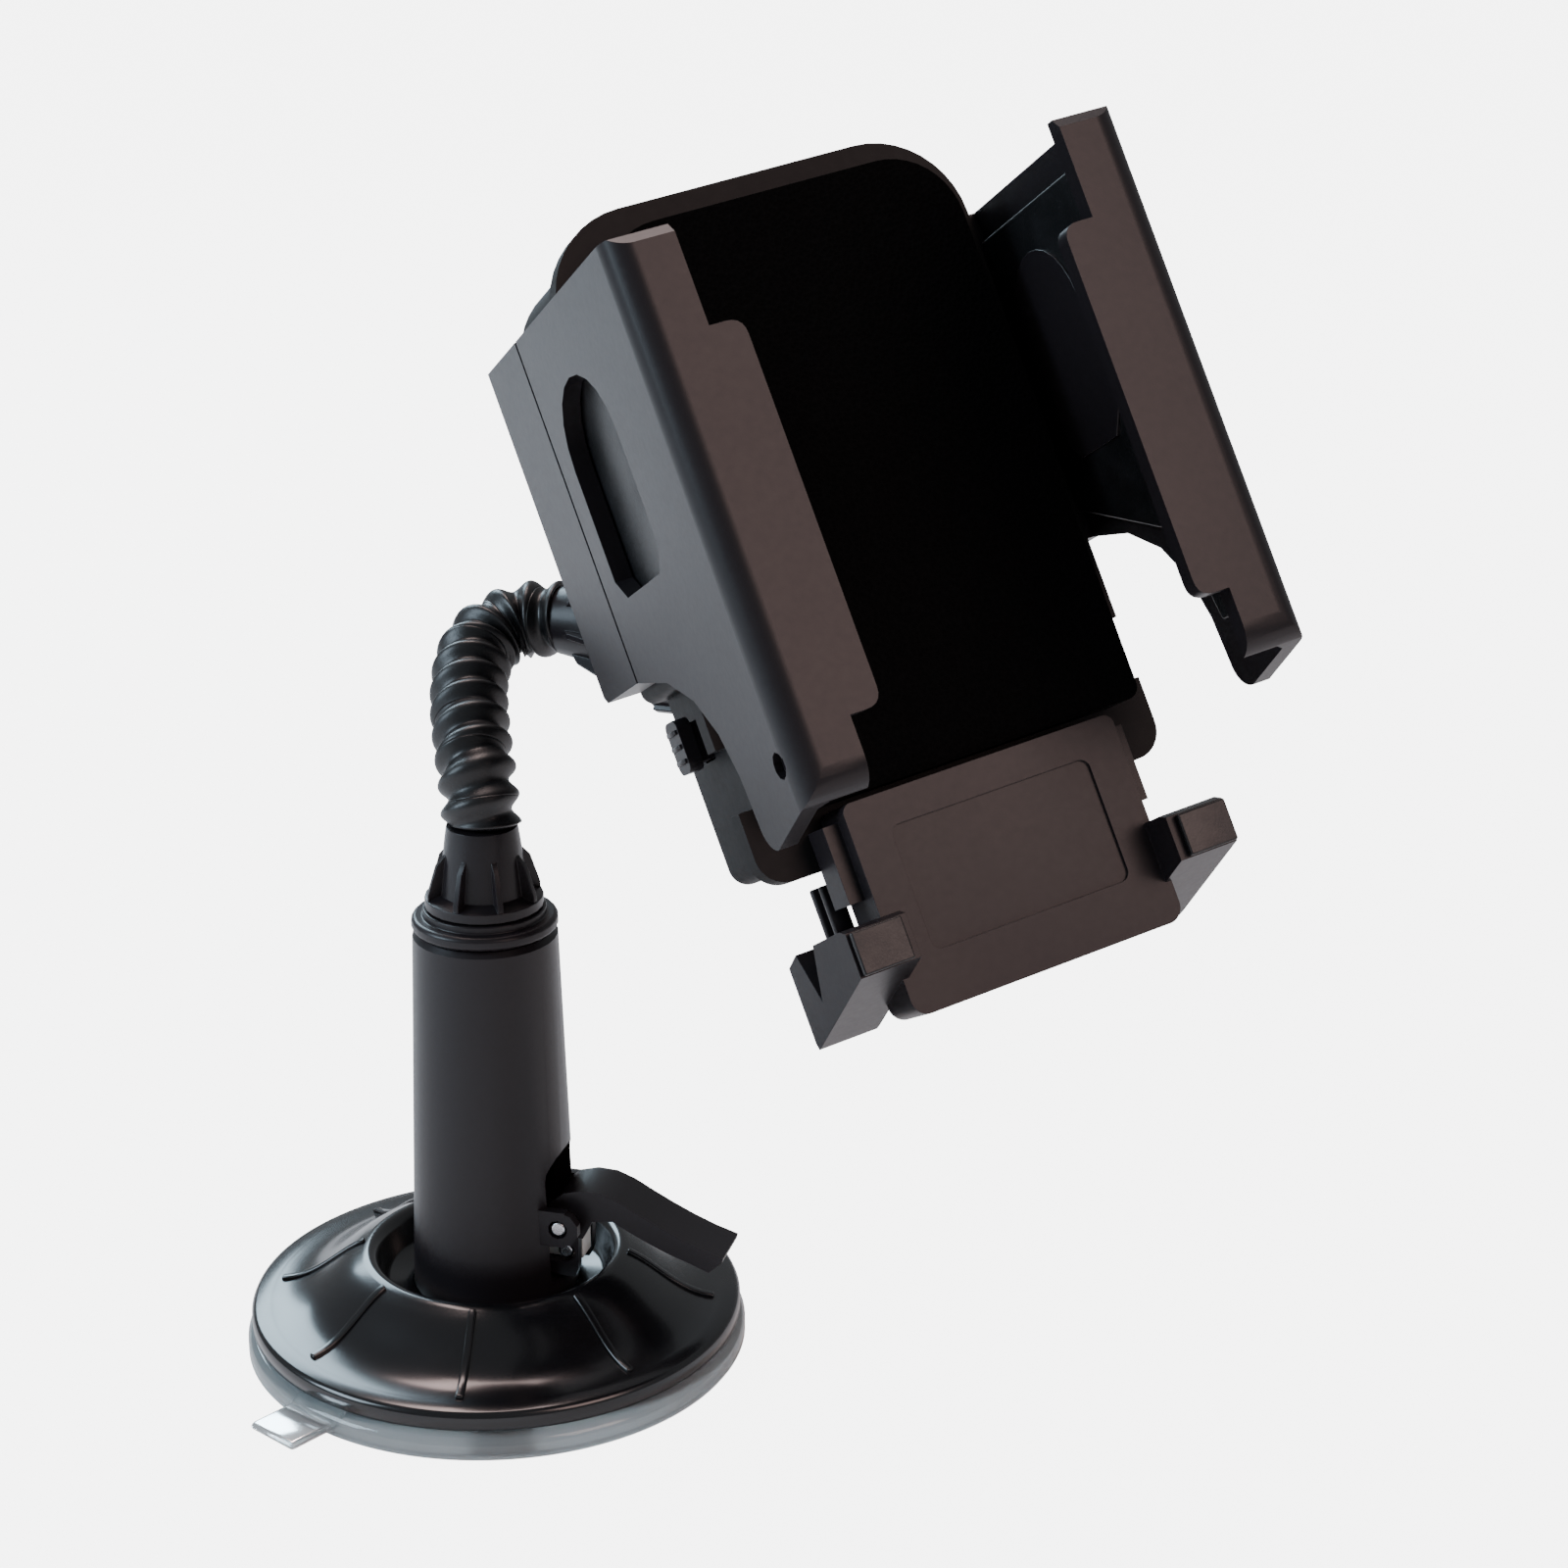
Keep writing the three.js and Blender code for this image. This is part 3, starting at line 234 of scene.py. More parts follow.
def polished_plastic(name, colour):
    """Mirror-bright black plastic with the faint ripple and haze of handling."""
    shader = Shader(name)
    haze = shader.noise(34.0, 5.0, 0.6).between(0.45, 0.8)
    fine = shader.noise(1400.0, 2.0)
    shader.set(
        Base_Color=shader.blend(haze, colour, scaled(colour, 1.7)),
        Roughness=0.2 + haze * 0.08 + fine * 0.02,
        Coat_Weight=0.25,
        Coat_Roughness=0.12,
    )
    shader.relief(shader.noise(60.0, 2.0), 0.05, 0.0004)
    return shader.material


def soft_rubber(name, colour, roughness=0.5):
    shader = Shader(name)
    bloom = shader.noise(90.0, 4.0).between(0.4, 0.75)
    grains = shader.noise(2200.0, 2.0, 0.7)
    shader.set(
        Base_Color=shader.blend(bloom, colour, scaled(colour, 1.8)),
        Roughness=roughness + bloom * 0.12 + (grains - 0.5) * 0.08,
    )
    shader.relief(grains, 0.12, 0.0002)
    return shader.material


def open_foam(name, colour):
    """Skinned black foam: small pores, broken by softer pressed patches."""
    shader = Shader(name)
    pores = shader.cells(1500.0)
    patches = shader.noise(70.0, 4.0)
    shader.set(
        Base_Color=shader.blend(pores * 0.8 + patches * 0.3, scaled(colour, 0.5), scaled(colour, 1.7)),
        Roughness=0.92 + patches * 0.06,
        Specular_IOR_Level=0.05,
    )
    shader.relief(pores + shader.noise(420.0, 3.0) * 0.7, 0.45, 0.0003)
    return shader.material


def clear_vinyl(name, colour):
    shader = Shader(name)
    cloud = shader.noise(40.0, 4.0)
    shader.set(
        Base_Color=shader.blend(cloud, colour, scaled(colour, 0.93)),
        Roughness=0.08 + cloud * 0.1,
        Transmission_Weight=0.82,
        IOR=1.5,
    )
    shader.relief(shader.noise(120.0, 3.0), 0.06, 0.0004)
    return shader.material


def bright_steel(name, colour):
    shader = Shader(name)
    brushed = shader.noise(500.0, 3.0, 0.6, stretch=(1.0, 1.0, 9.0))
    spots = shader.noise(60.0, 3.0).between(0.5, 0.8)
    shader.set(
        Base_Color=shader.blend(spots, colour, scaled(colour, 0.78)),
        Metallic=1.0,
        Roughness=0.16 + brushed * 0.12 + spots * 0.1,
    )
    shader.relief(brushed, 0.05, 0.0002)
    return shader.material


def white_nylon(name, colour):
    shader = Shader(name)
    cloud = shader.noise(80.0, 4.0)
    shader.set(
        Base_Color=shader.blend(cloud, colour, scaled(colour, 0.85)),
        Roughness=0.42 + cloud * 0.15,
        Subsurface_Weight=0.05,
    )
    shader.relief(shader.noise(900.0, 2.0), 0.05, 0.0002)
    return shader.material


MATERIALS = {}


def material(slot):
    """The finish of one of the record's material slots, made once."""
    if slot not in MATERIALS:
        colours = bpy.context.scene.mount_colours
        makers = {
            "clear_vinyl": lambda: clear_vinyl("Clear vinyl", tuple(colours.vinyl)),
            "gloss_black": lambda: polished_plastic("Polished black", tuple(colours.gloss)),
            "satin_black": lambda: moulded_plastic("Satin black", tuple(colours.satin), 0.33),
            "black_plastic": lambda: moulded_plastic(
                "Grained black", tuple(colours.grained), 0.5, grain=600.0, depth=0.09, shine=0.2
            ),
            "foam": lambda: open_foam("Black foam", tuple(colours.foam)),
            "black_rubber": lambda: soft_rubber("Black rubber", tuple(colours.rubber), 0.36),
            "polished_steel": lambda: bright_steel("Plated steel", tuple(colours.steel)),
            "nylon": lambda: white_nylon("Natural nylon", tuple(colours.nylon)),
        }
        MATERIALS[slot] = makers[slot]()
    return MATERIALS[slot]


# ---- Mesh tools ----
SHARP_ANGLE = math.radians(32.0)
FLAT_ANGLE = math.radians(1.0)
WELD = 1e-6


def finished(shape, name, slot, body, matrix=None, scale=MM):
    """Turns a bmesh in millimetres into a piece that rides on a body."""
    bmesh.ops.scale(shape, vec=(scale, scale, scale), verts=shape.verts)
    if matrix:
        bmesh.ops.transform(shape, matrix=matrix, verts=shape.verts)
    bmesh.ops.recalc_face_normals(shape, faces=shape.faces)
    for face in shape.faces:
        face.smooth = True
    mesh = bpy.data.meshes.new(name)
    shape.to_mesh(mesh)
    shape.free()
    piece = bpy.data.objects.new(name, mesh)
    bpy.context.collection.objects.link(piece)
    piece.data.materials.append(material(slot))
    if body:
        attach(piece, body)
    return piece


def rounded_edges(piece, width, segments=3):
    bevel = piece.modifiers.new("Round edges", "BEVEL")
    bevel.width = width * MM
    bevel.segments = segments
    bevel.limit_method = "ANGLE"
    bevel.angle_limit = SHARP_ANGLE
    bevel.miter_outer = "MITER_ARC"
    normals = piece.modifiers.new("Even shading", "WEIGHTED_NORMAL")
    normals.keep_sharp = True
    normals.weight = 80


def softened(node, width, segments=3, name=None):
    """A merged copy of a CAD node with its edges rounded, which stands for that node."""
    shape = bmesh.new()
    shape.from_mesh(frame["nodes"][node].data)
    bmesh.ops.remove_doubles(shape, verts=shape.verts, dist=WELD)
    bmesh.ops.dissolve_limit(shape, angle_limit=FLAT_ANGLE, verts=shape.verts, edges=shape.edges)
    piece = finished(shape, name or node + "_finished", SLOT_OF[node], BODY_OF[node], scale=1.0)
    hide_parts(node)
    if width:
        rounded_edges(piece, width, segments)
    return piece


def turned(profile, steps):
    """A bmesh spun about Z from a closed or on-axis profile of (radius, height)."""
    shape = bmesh.new()
    verts = [shape.verts.new((radius, 0.0, height)) for radius, height in profile]
    for pair in zip(verts, verts[1:]):
        shape.edges.new(pair)
    bmesh.ops.spin(
        shape,
        geom=shape.verts[:] + shape.edges[:],
        cent=(0, 0, 0),
        axis=(0, 0, 1),
        angle=2 * math.pi,
        steps=steps,
        use_merge=True,
        use_duplicate=False,
    )
    bmesh.ops.remove_doubles(shape, verts=shape.verts, dist=1e-4)
    return shape


def curve_points(start, handle_a, handle_b, end, count):
    """Points along a cubic curve, both ends included."""
    corners = (start, handle_a, handle_b, end)
    points = []
    for i in range(count + 1):
        t = i / count
        parts = ((1 - t) ** 3, 3 * t * (1 - t) ** 2, 3 * t * t * (1 - t), t**3)
        points.append(tuple(sum(p * c[k] for p, c in zip(parts, corners)) for k in (0, 1)))
    return points


def rounded_bar(shape, low, high, round_by, segments=2, matrix=None):
    """Adds a box with rounded edges, given its corners, to a bmesh."""
    size = [b - a for a, b in zip(low, high)]
    middle = [(a + b) / 2 for a, b in zip(low, high)]
    made = bmesh.ops.create_cube(shape, size=1.0)["verts"]
    bmesh.ops.scale(shape, vec=size, verts=made)
    bmesh.ops.translate(shape, vec=middle, verts=made)
    if matrix:
        bmesh.ops.transform(shape, matrix=matrix, verts=made)
    edges = {edge for vert in made for edge in vert.link_edges}
    bmesh.ops.bevel(
        shape,
        geom=list(edges),
        offset=round_by,
        affect="EDGES",
        segments=segments,
        profile=0.5,
        material=-1,
    )


# ---- Sizes and colours ----
class MountSizes(bpy.types.PropertyGroup):
    """Sizes of the pieces that are made here, in millimetres."""

    cup_radius: bpy.props.FloatProperty(name="Cup radius", description="Outside of the cup", default=40.0)
    dome_radius: bpy.props.FloatProperty(name="Dome radius", description="Outside of the dome", default=39.2)
    rib_count: bpy.props.IntProperty(name="Dome ribs", description="Raised ribs on the dome", default=8)
    neck_radius: bpy.props.FloatProperty(name="Neck radius", description="Sleeve between ridges", default=4.8)
    ridge_height: bpy.props.FloatProperty(name="Ridge height", description="Spiral ridge", default=1.4)
    ridge_pitch: bpy.props.FloatProperty(name="Ridge pitch", description="Between two ridges", default=4.3)
    edge_round: bpy.props.FloatProperty(name="Edge rounding", description="Moulded edges", default=0.55)


class MountColours(bpy.types.PropertyGroup):
    """Base colours of the finishes."""

    vinyl: bpy.props.FloatVectorProperty(
        name="Vinyl", description="Suction cup", subtype="COLOR", default=(0.8, 0.88, 0.9)
    )
    gloss: bpy.props.FloatVectorProperty(
        name="Polished black", description="Base dome", subtype="COLOR", default=(0.003, 0.003, 0.004)
    )
    satin: bpy.props.FloatVectorProperty(
        name="Satin black", description="Arms and column", subtype="COLOR", default=(0.011, 0.0088, 0.0105)
    )
    grained: bpy.props.FloatVectorProperty(
        name="Grained black", description="Housing and plate", subtype="COLOR", default=(0.005, 0.0045, 0.005)
    )
    foam: bpy.props.FloatVectorProperty(
        name="Foam", description="Phone pad", subtype="COLOR", default=(0.002, 0.0019, 0.002)
    )
    rubber: bpy.props.FloatVectorProperty(
        name="Rubber", description="Neck sleeve and tips", subtype="COLOR", default=(0.005, 0.0048, 0.0055)
    )
    steel: bpy.props.FloatVectorProperty(
        name="Plated steel", description="Pins and screws", subtype="COLOR", default=(0.74, 0.74, 0.76)
    )
    nylon: bpy.props.FloatVectorProperty(
        name="Nylon", description="Racks and pinion", subtype="COLOR", default=(0.72, 0.71, 0.67)
    )


# ---- Suction base ----
CUP_TOP = 4.5
POCKET_RADIUS = 3.1
POCKET_FLOOR = 3.6
SPIGOT_RADIUS = 5.2
SPIGOT_TOP = 7.5
TAB_ANGLE = math.radians(243.0)
TAB_REACH = 7.6
TAB_HALF = 5.0
DOME_BASE = 4.8
RIM_TOP = 7.9
RIM_INNER = 35.2
LIP_RADIUS = 20.2
LIP_TOP = 15.9
WELL_FLOOR = 10.2
WELL_UNDER = WELL_FLOOR - 2.0
RIB_HALF = 0.65
RIB_RISE = 0.55
RIB_SINK = 0.6
FIRST_RIB = math.radians(10.0)


def dome_flare(lift=0.0, count=14):
    """The dome's outer curve from its rim up to its lip, as (radius, height)."""
    return curve_points(
        (RIM_INNER, RIM_TOP + 0.2 + lift),
        (RIM_INNER - 6.0, RIM_TOP + 0.7 + lift),
        (LIP_RADIUS + 6.0, LIP_TOP - 2.4 + lift),
        (LIP_RADIUS + 1.2, LIP_TOP - 0.4 + lift),
        count,
    )


class MOUNT_OT_base(bpy.types.Operator):
    """Make the clear suction cup and the polished dome"""

    bl_idname = "mount.base"
    bl_label = "Suction base"

    def execute(self, context):
        sizes = context.scene.mount_sizes
        self.cup(sizes)
        self.dome(sizes)
        self.ribs(sizes)
        return {"FINISHED"}

    def cup(self, sizes):
        radius = sizes.cup_radius
        shape = turned(
            [
                (0.0, 0.0),
                (radius - 1.2, 0.0),
                (radius - 0.4, 0.15),
                (radius, 0.7),
                (radius, 2.6),
                (radius - 0.35, 3.4),
                (radius - 1.2, 3.9),
                (radius - 2.6, 4.2),
                (radius - 3.4, 4.45),
                (SPIGOT_RADIUS, CUP_TOP),
                (SPIGOT_RADIUS, SPIGOT_TOP),
                (POCKET_RADIUS, SPIGOT_TOP),
                (POCKET_RADIUS, POCKET_FLOOR),
                (0.0, POCKET_FLOOR),
            ],
            steps=128,
        )
        turn = Matrix.Rotation(TAB_ANGLE, 4, "Z")
        low = (radius - 4.0, -TAB_HALF, 1.0)
        high = (radius + TAB_REACH, TAB_HALF, 2.4)
        rounded_bar(shape, low, high, 0.8, 3, turn)
        piece = finished(shape, "clear_cup", "clear_vinyl", "base", BASE)
        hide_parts("suction_cup")

    def dome(self, sizes):
        radius = sizes.dome_radius
        profile = [
            (POCKET_RADIUS, WELL_UNDER),
            (LIP_RADIUS - 4.0, WELL_UNDER),
            (LIP_RADIUS - 1.0, LIP_TOP - 3.2),
            (LIP_RADIUS + 1.5, LIP_TOP - 3.0),
            (LIP_RADIUS + 8.0, RIM_TOP + 1.0),
            (RIM_INNER, RIM_TOP - 2.0),
            (radius - 2.0, DOME_BASE),
            (radius - 0.3, DOME_BASE),
            (radius, DOME_BASE + 0.3),
            (radius, RIM_TOP - 0.9),
            (radius - 0.25, RIM_TOP - 0.35),
            (radius - 0.8, RIM_TOP),
            (RIM_INNER + 0.8, RIM_TOP + 0.1),
            *dome_flare(),
            (LIP_RADIUS + 0.5, LIP_TOP - 0.05),
            (LIP_RADIUS - 0.3, LIP_TOP),
            (LIP_RADIUS - 1.0, LIP_TOP - 0.35),
            (LIP_RADIUS - 1.6, LIP_TOP - 1.4),
            (LIP_RADIUS - 2.5, WELL_FLOOR + 0.9),
            (LIP_RADIUS - 3.2, WELL_FLOOR),
            (POCKET_RADIUS, WELL_FLOOR),
            (POCKET_RADIUS, WELL_UNDER),
        ]
        shape = turned(profile, steps=144)
        piece = finished(shape, "polished_dome", "gloss_black", "base", BASE)
        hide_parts("base_dome")

    def ribs(self, sizes):
        """Slim raised ribs that run down the dome from its lip to its rim."""
        shape = bmesh.new()
        for i in range(sizes.rib_count):
            crest = [(radius, RIB_HALF, height) for radius, height in dome_flare(RIB_RISE, 10)]
            foot = [(radius, RIB_HALF, height) for radius, height in reversed(dome_flare(-RIB_SINK, 10))]
            verts = [shape.verts.new(point) for point in crest + foot]
            face = shape.faces.new(verts)
            side = bmesh.ops.extrude_face_region(shape, geom=[face])["geom"]
            moved = [item for item in side if isinstance(item, bmesh.types.BMVert)]
            bmesh.ops.translate(shape, vec=(0, -2 * RIB_HALF, 0), verts=moved)
            turn = Matrix.Rotation(FIRST_RIB + 2 * math.pi * i / sizes.rib_count, 4, "Z")
            bmesh.ops.transform(shape, matrix=turn, verts=verts + moved)
        piece = finished(shape, "dome_ribs", "gloss_black", "base", BASE)
        rounded_edges(piece, 0.3, 2)


class MOUNT_OT_column(bpy.types.Operator):
    """Finish the column, its locking lever and what is inside it"""

    bl_idname = "mount.column"
    bl_label = "Column and lever"

    def execute(self, context):
        width = context.scene.mount_sizes.edge_round
        softened("column", 0.35)
        softened("lock_lever", width)
        softened("collar_ring", 0.25)
        for node in ("lever_pivot_pin", "cam_roller_pin"):
            softened(node, 0.1, 2)
        for node in ("plunger", "plunger_spring", "neck_washer"):
            softened(node, 0.08, 2)
        return {"FINISHED"}


# ---- Neck ----
BEND_REACH = 0.35
CREST_SHARPNESS = 0.9
SLEEVE_WALL = 0.9


def neck_path():
    """The neck's joints, with one more place before the first of them and one after the last."""
    knots = [pivot(name) for name in NECK_JOINTS]
    start = knots[0] - Vector((0, 0, 1)) * (knots[1] - knots[0]).length
    end = knots[-1] + HEAD_LINE * (knots[-1] - knots[-2]).length
    return [start, *knots, end]


def on_chain(chain, s):
    """A place on the smooth curve through the neck's joints; s counts joints, from 0."""
    i = min(max(int(math.floor(s)), 0), len(chain) - 4)
    t = s - i
    a, b, c, d = chain[i : i + 4]
    square = (2 * a - 5 * b + 4 * c - d) * t**2
    cube = (3 * b - a - 3 * c + d) * t**3
    return 0.5 * (2 * b + (c - a) * t + square + cube)


class MOUNT_OT_neck(bpy.types.Operator):
    """Make the spiral sleeve of the neck, one length over each of its joints"""

    bl_idname = "mount.neck"
    bl_label = "Neck sleeve"

    around = 40
    along = 44

    def execute(self, context):
        sizes = context.scene.mount_sizes
        chain = neck_path()
        last = len(NECK_JOINTS) - 1
        span = (pivot(NECK_JOINTS[1]) - pivot(NECK_JOINTS[0])).length / MM
        frames = self.frames(chain, last)
        for k, name in enumerate(NECK_JOINTS):
            low = max(k - 0.5, 0.0)
            high = min(k + 0.5, last)
            piece = self.sleeve(sizes, frames, k, low, high, span)
            start = end = pivot(name)
            if k:
                start = on_chain(chain, max(k - BEND_REACH, 0.0))
            if k < last:
                end = on_chain(chain, min(k + BEND_REACH, last))
            else:
                end = end + HEAD_LINE * 0.5 * MM
            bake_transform(piece)
            if k < last:
                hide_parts(f"neck_segment_{k + 1}")
        for node in ("lower_ferrule", "upper_ferrule"):
            softened(node, 0.3)
        softened("neck_bolt", 0.1, 2)
        return {"FINISHED"}

    def frames(self, chain, last, per_joint=24):
        """Places with two crosswise directions that don't twist, at even steps along the neck."""
        count = last * per_joint
        places = [on_chain(chain, last * i / count) for i in range(count + 1)]
        side = Vector((1, 0, 0))
        found = []
        for i, place in enumerate(places):
            ahead = places[min(i + 1, count)] - places[max(i - 1, 0)]
            ahead.normalize()
            side = (side - ahead * side.dot(ahead)).normalized()
            found.append((place, side.copy(), ahead.cross(side)))
        return found, per_joint

    def sleeve(self, sizes, frames, k, low, high, span):
        """A grid wrapped round the neck's curve, its radius swelling along the spiral."""
        found, per_joint = frames
        rows = max(4, int(round((high - low) * self.along)))
        shape = bmesh.new()
        bmesh.ops.create_grid(shape, x_segments=rows, y_segments=self.around, size=0.5)
        for vert in shape.verts:
            s = low + (high - low) * (vert.co.x + 0.5)
            angle = 2 * math.pi * (vert.co.y + 0.5)
            at = s * per_joint
            i = min(int(at), len(found) - 2)
            share = at - i
            place = found[i][0].lerp(found[i + 1][0], share)
            side = found[i][1].lerp(found[i + 1][1], share)
            other = found[i][2].lerp(found[i + 1][2], share)
            phase = s * span / sizes.ridge_pitch - angle / (2 * math.pi)
            crest = 0.5 + 0.5 * math.cos(2 * math.pi * phase)
            radius = (sizes.neck_radius + sizes.ridge_height * crest**CREST_SHARPNESS) * MM
            vert.co = place + side * (radius * math.cos(angle)) + other * (radius * math.sin(angle))
        bmesh.ops.remove_doubles(shape, verts=shape.verts, dist=WELD)
        piece = finished(shape, f"neck_sleeve_{k + 1}", "black_rubber", None, scale=1.0)
        wall = piece.modifiers.new("Wall", "SOLIDIFY")
        wall.thickness = SLEEVE_WALL * MM
        wall.offset = -1.0
        return piece


# ---- Head ----
class MOUNT_OT_head(bpy.types.Operator):
    """Finish the ball, its clamp nut and the swivel bracket"""

    bl_idname = "mount.head"
    bl_label = "Ball head"

    def execute(self, context):
        softened("clamp_nut", 0.35)
        softened("swivel_bracket", 0.4)
        for node in ("ball_stud", "ball_liner", "hub_screw", "hub_nut"):
            softened(node, 0.1, 2)
        return {"FINISHED"}


# ---- Cradle ----
GRIP_PITCH = 2.2
GRIP_HALF = 0.35
GRIP_LENGTH = 4.0
GRIP_SUNK = 0.3
WINDOW_LOW = WALL_BACK + 6.5
WINDOW_HIGH = WALL_BACK + 26.0
WINDOW_TOP = -11.0
WINDOW_BOTTOM = -41.5
WINDOW_CUT = 3.5
WINDOW_RISE = 0.5
RAIL_DEPTHS = (-17.0, -13.2)
RAIL_TOP = -88.0
RAIL_BOTTOM = -97.5
RAIL_HEIGHT = 1.3
RAIL_PROUD = 2.6
RAIL_SUNK = 0.4


class MOUNT_OT_cradle(bpy.types.Operator):
    """Finish the plate, housing and arms, and make the foam pad"""

    bl_idname = "mount.cradle"
    bl_label = "Cradle"

    def execute(self, context):
        width = context.scene.mount_sizes.edge_round
        softened("back_plate", width)
        softened("rear_housing", 1.1, 4)
        for side in ("right", "left"):
            softened(f"{side}_arm", width + 0.15, 4)
            softened(f"{side}_grip_pad", 0.4)
            softened(f"{side}_release_button", 0.5)
            self.window_panel(side)
            self.button_grips(side)
        pad = softened("foam_pad", 1.7, 5, "foam_cushion")
        return {"FINISHED"}

    def button_grips(self, side):
        """Three small ribs across a release button's thumb face."""
        hand = 1 if side == "right" else -1
        shape = bmesh.new()
        for drop in (-GRIP_PITCH, 0.0, GRIP_PITCH):
            near, far = sorted((hand * (BUTTON_FACE - GRIP_SUNK), hand * (BUTTON_FACE + GRIP_HALF)))
            middle = drop - BUTTON_DROP
            low = (near, middle - GRIP_HALF, BUTTON_DEPTH - GRIP_LENGTH / 2)
            high = (far, middle + GRIP_HALF, BUTTON_DEPTH + GRIP_LENGTH / 2)
            rounded_bar(shape, low, high, 0.15)
        finished(shape, f"{side}_button_grips", "satin_black", f"{side}_button", CRADLE)

    def window_panel(self, side):
        """A low raised panel on an arm's lining, in the shape of the window behind it."""
        hand = 1 if side == "right" else -1
        low, high = WINDOW_LOW, WINDOW_HIGH
        arch = (high - low) / 2
        inner = WINDOW_BOTTOM + WINDOW_CUT
        outline = [(WINDOW_BOTTOM, low + WINDOW_CUT), (inner, low)]
        for i in range(13):
            turn = math.pi * (i / 12 - 0.5)
            along = WINDOW_TOP - arch + arch * math.cos(turn)
            outline.append((along, low + arch + arch * math.sin(turn)))
        outline += [(inner, high), (WINDOW_BOTTOM, high - WINDOW_CUT)]
        shape = bmesh.new()
        face = shape.faces.new([shape.verts.new((hand * LINING, v, w)) for v, w in outline])
        moved = bmesh.ops.extrude_face_region(shape, geom=[face])["geom"]
        tops = [item for item in moved if isinstance(item, bmesh.types.BMVert)]
        bmesh.ops.translate(shape, vec=(-hand * WINDOW_RISE, 0, 0), verts=tops)
        piece = finished(shape, f"{side}_window_panel", "satin_black", f"{side}_arm", CRADLE)
        rounded_edges(piece, 0.15, 2)


class MOUNT_OT_foot(bpy.types.Operator):
    """Finish the sliding foot and its rubber tips"""

    bl_idname = "mount.foot"
    bl_label = "Sliding foot"

    def execute(self, context):
        softened("foot_slider", 0.4)
        shape = bmesh.new()
        for hand in (-1, 1):
            near, far = sorted((hand * (SLIDER_HALF - RAIL_SUNK), hand * (SLIDER_HALF + RAIL_PROUD)))
            for depth in RAIL_DEPTHS:
                low = (near, RAIL_BOTTOM, depth)
                high = (far, RAIL_TOP, depth + RAIL_HEIGHT)
                rounded_bar(shape, low, high, 0.3)
        finished(shape, "slider_rails", "satin_black", "foot", CRADLE)
        for side in ("right", "left"):
            softened(f"{side}_foot_tip", 0.3)
        return {"FINISHED"}


class MOUNT_OT_works(bpy.types.Operator):
    """Give the racks, pinion, springs and screws their materials"""

    bl_idname = "mount.works"
    bl_label = "Works and fasteners"

    def execute(self, context):
        made = {obj.name for obj in bpy.data.objects}
        for node, part in frame["nodes"].items():
            if node + "_finished" in made or node in OTHERWISE_MADE:
                continue
            part.data.materials.clear()
            part.data.materials.append(material(SLOT_OF[node]))
        return {"FINISHED"}


OTHERWISE_MADE = {"suction_cup", "base_dome", "foam_pad", *(f"neck_segment_{i}" for i in range(1, 8))}


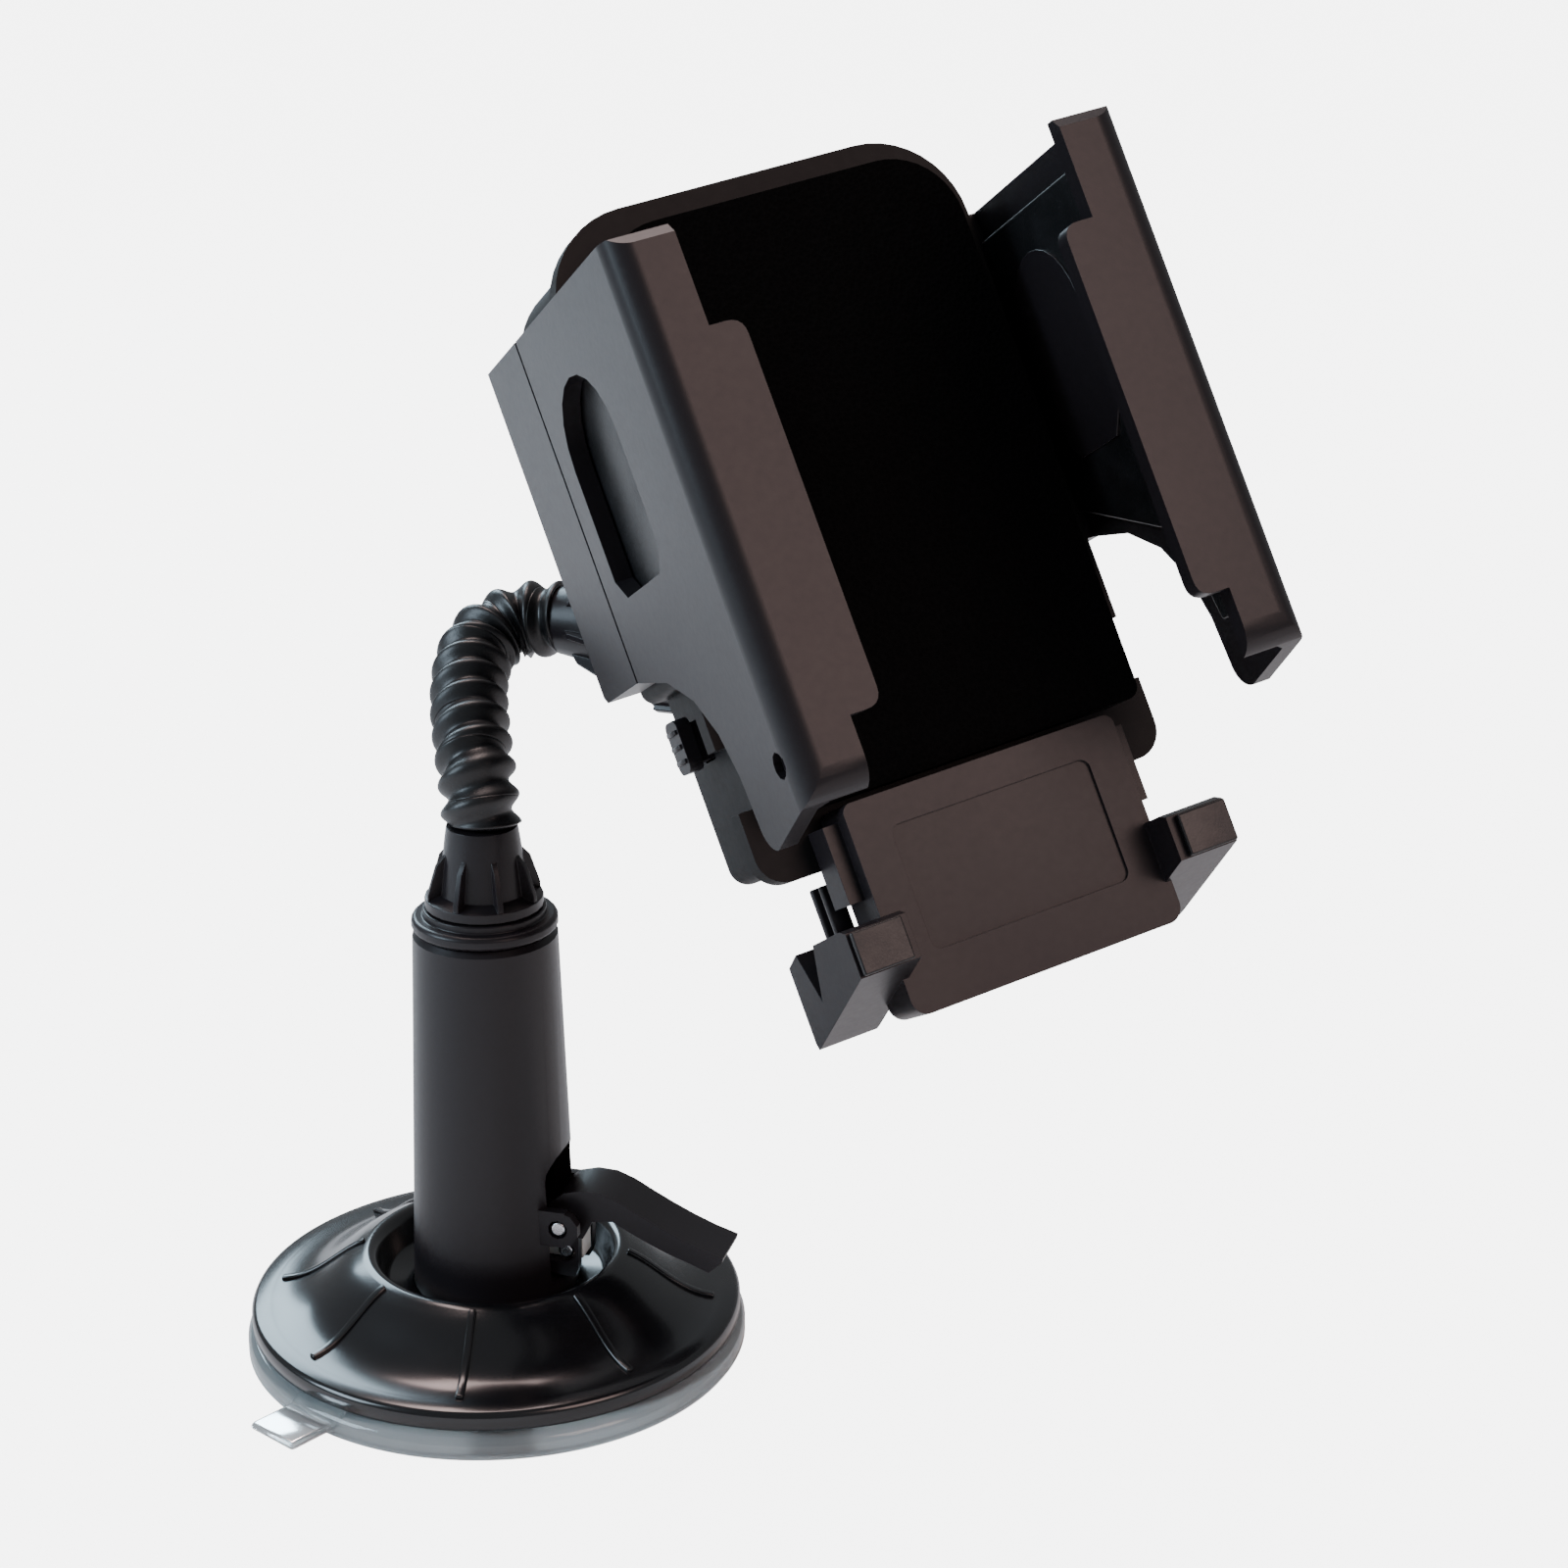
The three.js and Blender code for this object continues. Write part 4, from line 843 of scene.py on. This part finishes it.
# ---- Stage ----
class MOUNT_OT_stage(bpy.types.Operator):
    """Set out the floor, the lights and the camera"""

    bl_idname = "mount.stage"
    bl_label = "Stage"

    camera_place = (-0.1270, -0.4554, 0.2639)
    camera_line = (0.3403, 0.8773, -0.339)
    lens = 75.3
    target = (0.02, 0.0, 0.1)
    white_strength = 7.0
    white_share = 0.85
    lights = (
        ("Cool side", (-0.75, 0.05, 0.45), 0.4, 6.0, (0.68, 0.85, 1.0)),
        ("Warm front", (0.32, -0.62, 0.6), 0.42, 2.6, (1.0, 0.7, 0.64)),
        ("Cool back", (-0.1, 0.83, 0.55), 0.4, 6.0, (0.66, 0.86, 1.0)),
        ("Warm top", (0.05, 0.4, 0.98), 0.35, 5.0, (1.0, 0.78, 0.74)),
    )

    def execute(self, context):
        self.floor()
        for light in self.lights:
            self.light(*light)
        context.scene.world = self.world()
        camera = bpy.data.objects.new("Camera", bpy.data.cameras.new("Camera"))
        camera.data.lens = self.lens
        camera.data.sensor_width = 36.0
        camera.data.clip_start = 0.01
        camera.location = self.camera_place
        camera.rotation_euler = Vector(self.camera_line).to_track_quat("-Z", "Y").to_euler()
        context.collection.objects.link(camera)
        context.scene.camera = camera
        return {"FINISHED"}

    def world(self):
        """A soft pale light all round, which the camera sees as plain white."""
        world = bpy.data.worlds.new("Studio")
        world.use_nodes = True
        tree = world.node_tree
        soft = tree.nodes["Background"]
        soft.inputs[0].default_value = (0.92, 0.96, 1.0, 1.0)
        soft.inputs[1].default_value = 0.3
        white = tree.nodes.new("ShaderNodeBackground")
        white.inputs[0].default_value = (1.0, 1.0, 1.0, 1.0)
        white.inputs[1].default_value = self.white_strength
        rays = tree.nodes.new("ShaderNodeLightPath")
        mix = tree.nodes.new("ShaderNodeMixShader")
        tree.links.new(rays.outputs["Is Camera Ray"], mix.inputs[0])
        tree.links.new(soft.outputs[0], mix.inputs[1])
        tree.links.new(white.outputs[0], mix.inputs[2])
        tree.links.new(mix.outputs[0], tree.nodes["World Output"].inputs[0])
        return world

    def floor(self):
        """A pale floor that the camera sees as nearly white."""
        shape = bmesh.new()
        bmesh.ops.create_grid(shape, x_segments=1, y_segments=1, size=4.0)
        mesh = bpy.data.meshes.new("Floor")
        shape.to_mesh(mesh)
        shape.free()
        floor = bpy.data.objects.new("Floor", mesh)
        floor.location = (0, 0, -0.0002)
        bpy.context.collection.objects.link(floor)
        shader = Shader("Pale floor")
        tone = shader.noise(3.0, 2.0)
        shader.set(
            Base_Color=shader.blend(tone, (0.93, 0.93, 0.93), (0.96, 0.96, 0.96)),
            Roughness=0.7 + tone * 0.1,
        )
        white = shader.add("ShaderNodeEmission", {}, {"Strength": self.white_strength})
        rays = shader.add("ShaderNodeLightPath").outputs["Is Camera Ray"]
        values = {
            0: Amount(shader, rays) * self.white_share,
            1: shader.surface.outputs[0],
            2: white.outputs[0],
        }
        mix = shader.add("ShaderNodeMixShader", {}, values)
        shader.put(shader.tree.nodes["Material Output"].inputs["Surface"], mix.outputs[0])
        floor.data.materials.append(shader.material)

    def light(self, name, place, size, power, colour):
        lamp = bpy.data.lights.new(name, "AREA")
        lamp.color = colour
        lamp.size = size
        lamp.energy = power
        holder = bpy.data.objects.new(name, lamp)
        holder.location = place
        aim = Vector(self.target) - Vector(place)
        holder.rotation_euler = aim.to_track_quat("-Z", "Y").to_euler()
        bpy.context.collection.objects.link(holder)


OPERATORS = (
    MOUNT_OT_base,
    MOUNT_OT_column,
    MOUNT_OT_neck,
    MOUNT_OT_head,
    MOUNT_OT_cradle,
    MOUNT_OT_foot,
    MOUNT_OT_works,
    MOUNT_OT_stage,
)


class MOUNT_PT_panel(bpy.types.Panel):
    """Lists the sizes, the colours and the operators"""

    bl_label = "Phone Mount"
    bl_idname = "MOUNT_PT_panel"
    bl_space_type = "VIEW_3D"
    bl_region_type = "UI"
    bl_category = "Phone Mount"

    def draw(self, context):
        for group in (context.scene.mount_sizes, context.scene.mount_colours):
            for key in group.__annotations__:
                self.layout.prop(group, key)
        for operator in OPERATORS:
            self.layout.operator(operator.bl_idname)


CLASSES = (MountSizes, MountColours, *OPERATORS, MOUNT_PT_panel)


def register():
    for cls in CLASSES:
        bpy.utils.register_class(cls)
    bpy.types.Scene.mount_sizes = bpy.props.PointerProperty(type=MountSizes)
    bpy.types.Scene.mount_colours = bpy.props.PointerProperty(type=MountColours)


def unregister():
    del bpy.types.Scene.mount_sizes
    del bpy.types.Scene.mount_colours
    for cls in reversed(CLASSES):
        bpy.utils.unregister_class(cls)


def main():
    register()
    for operator in OPERATORS:
        group, action = operator.bl_idname.split(".")
        getattr(getattr(bpy.ops, group), action)()


if __name__ == "__main__":
    main()
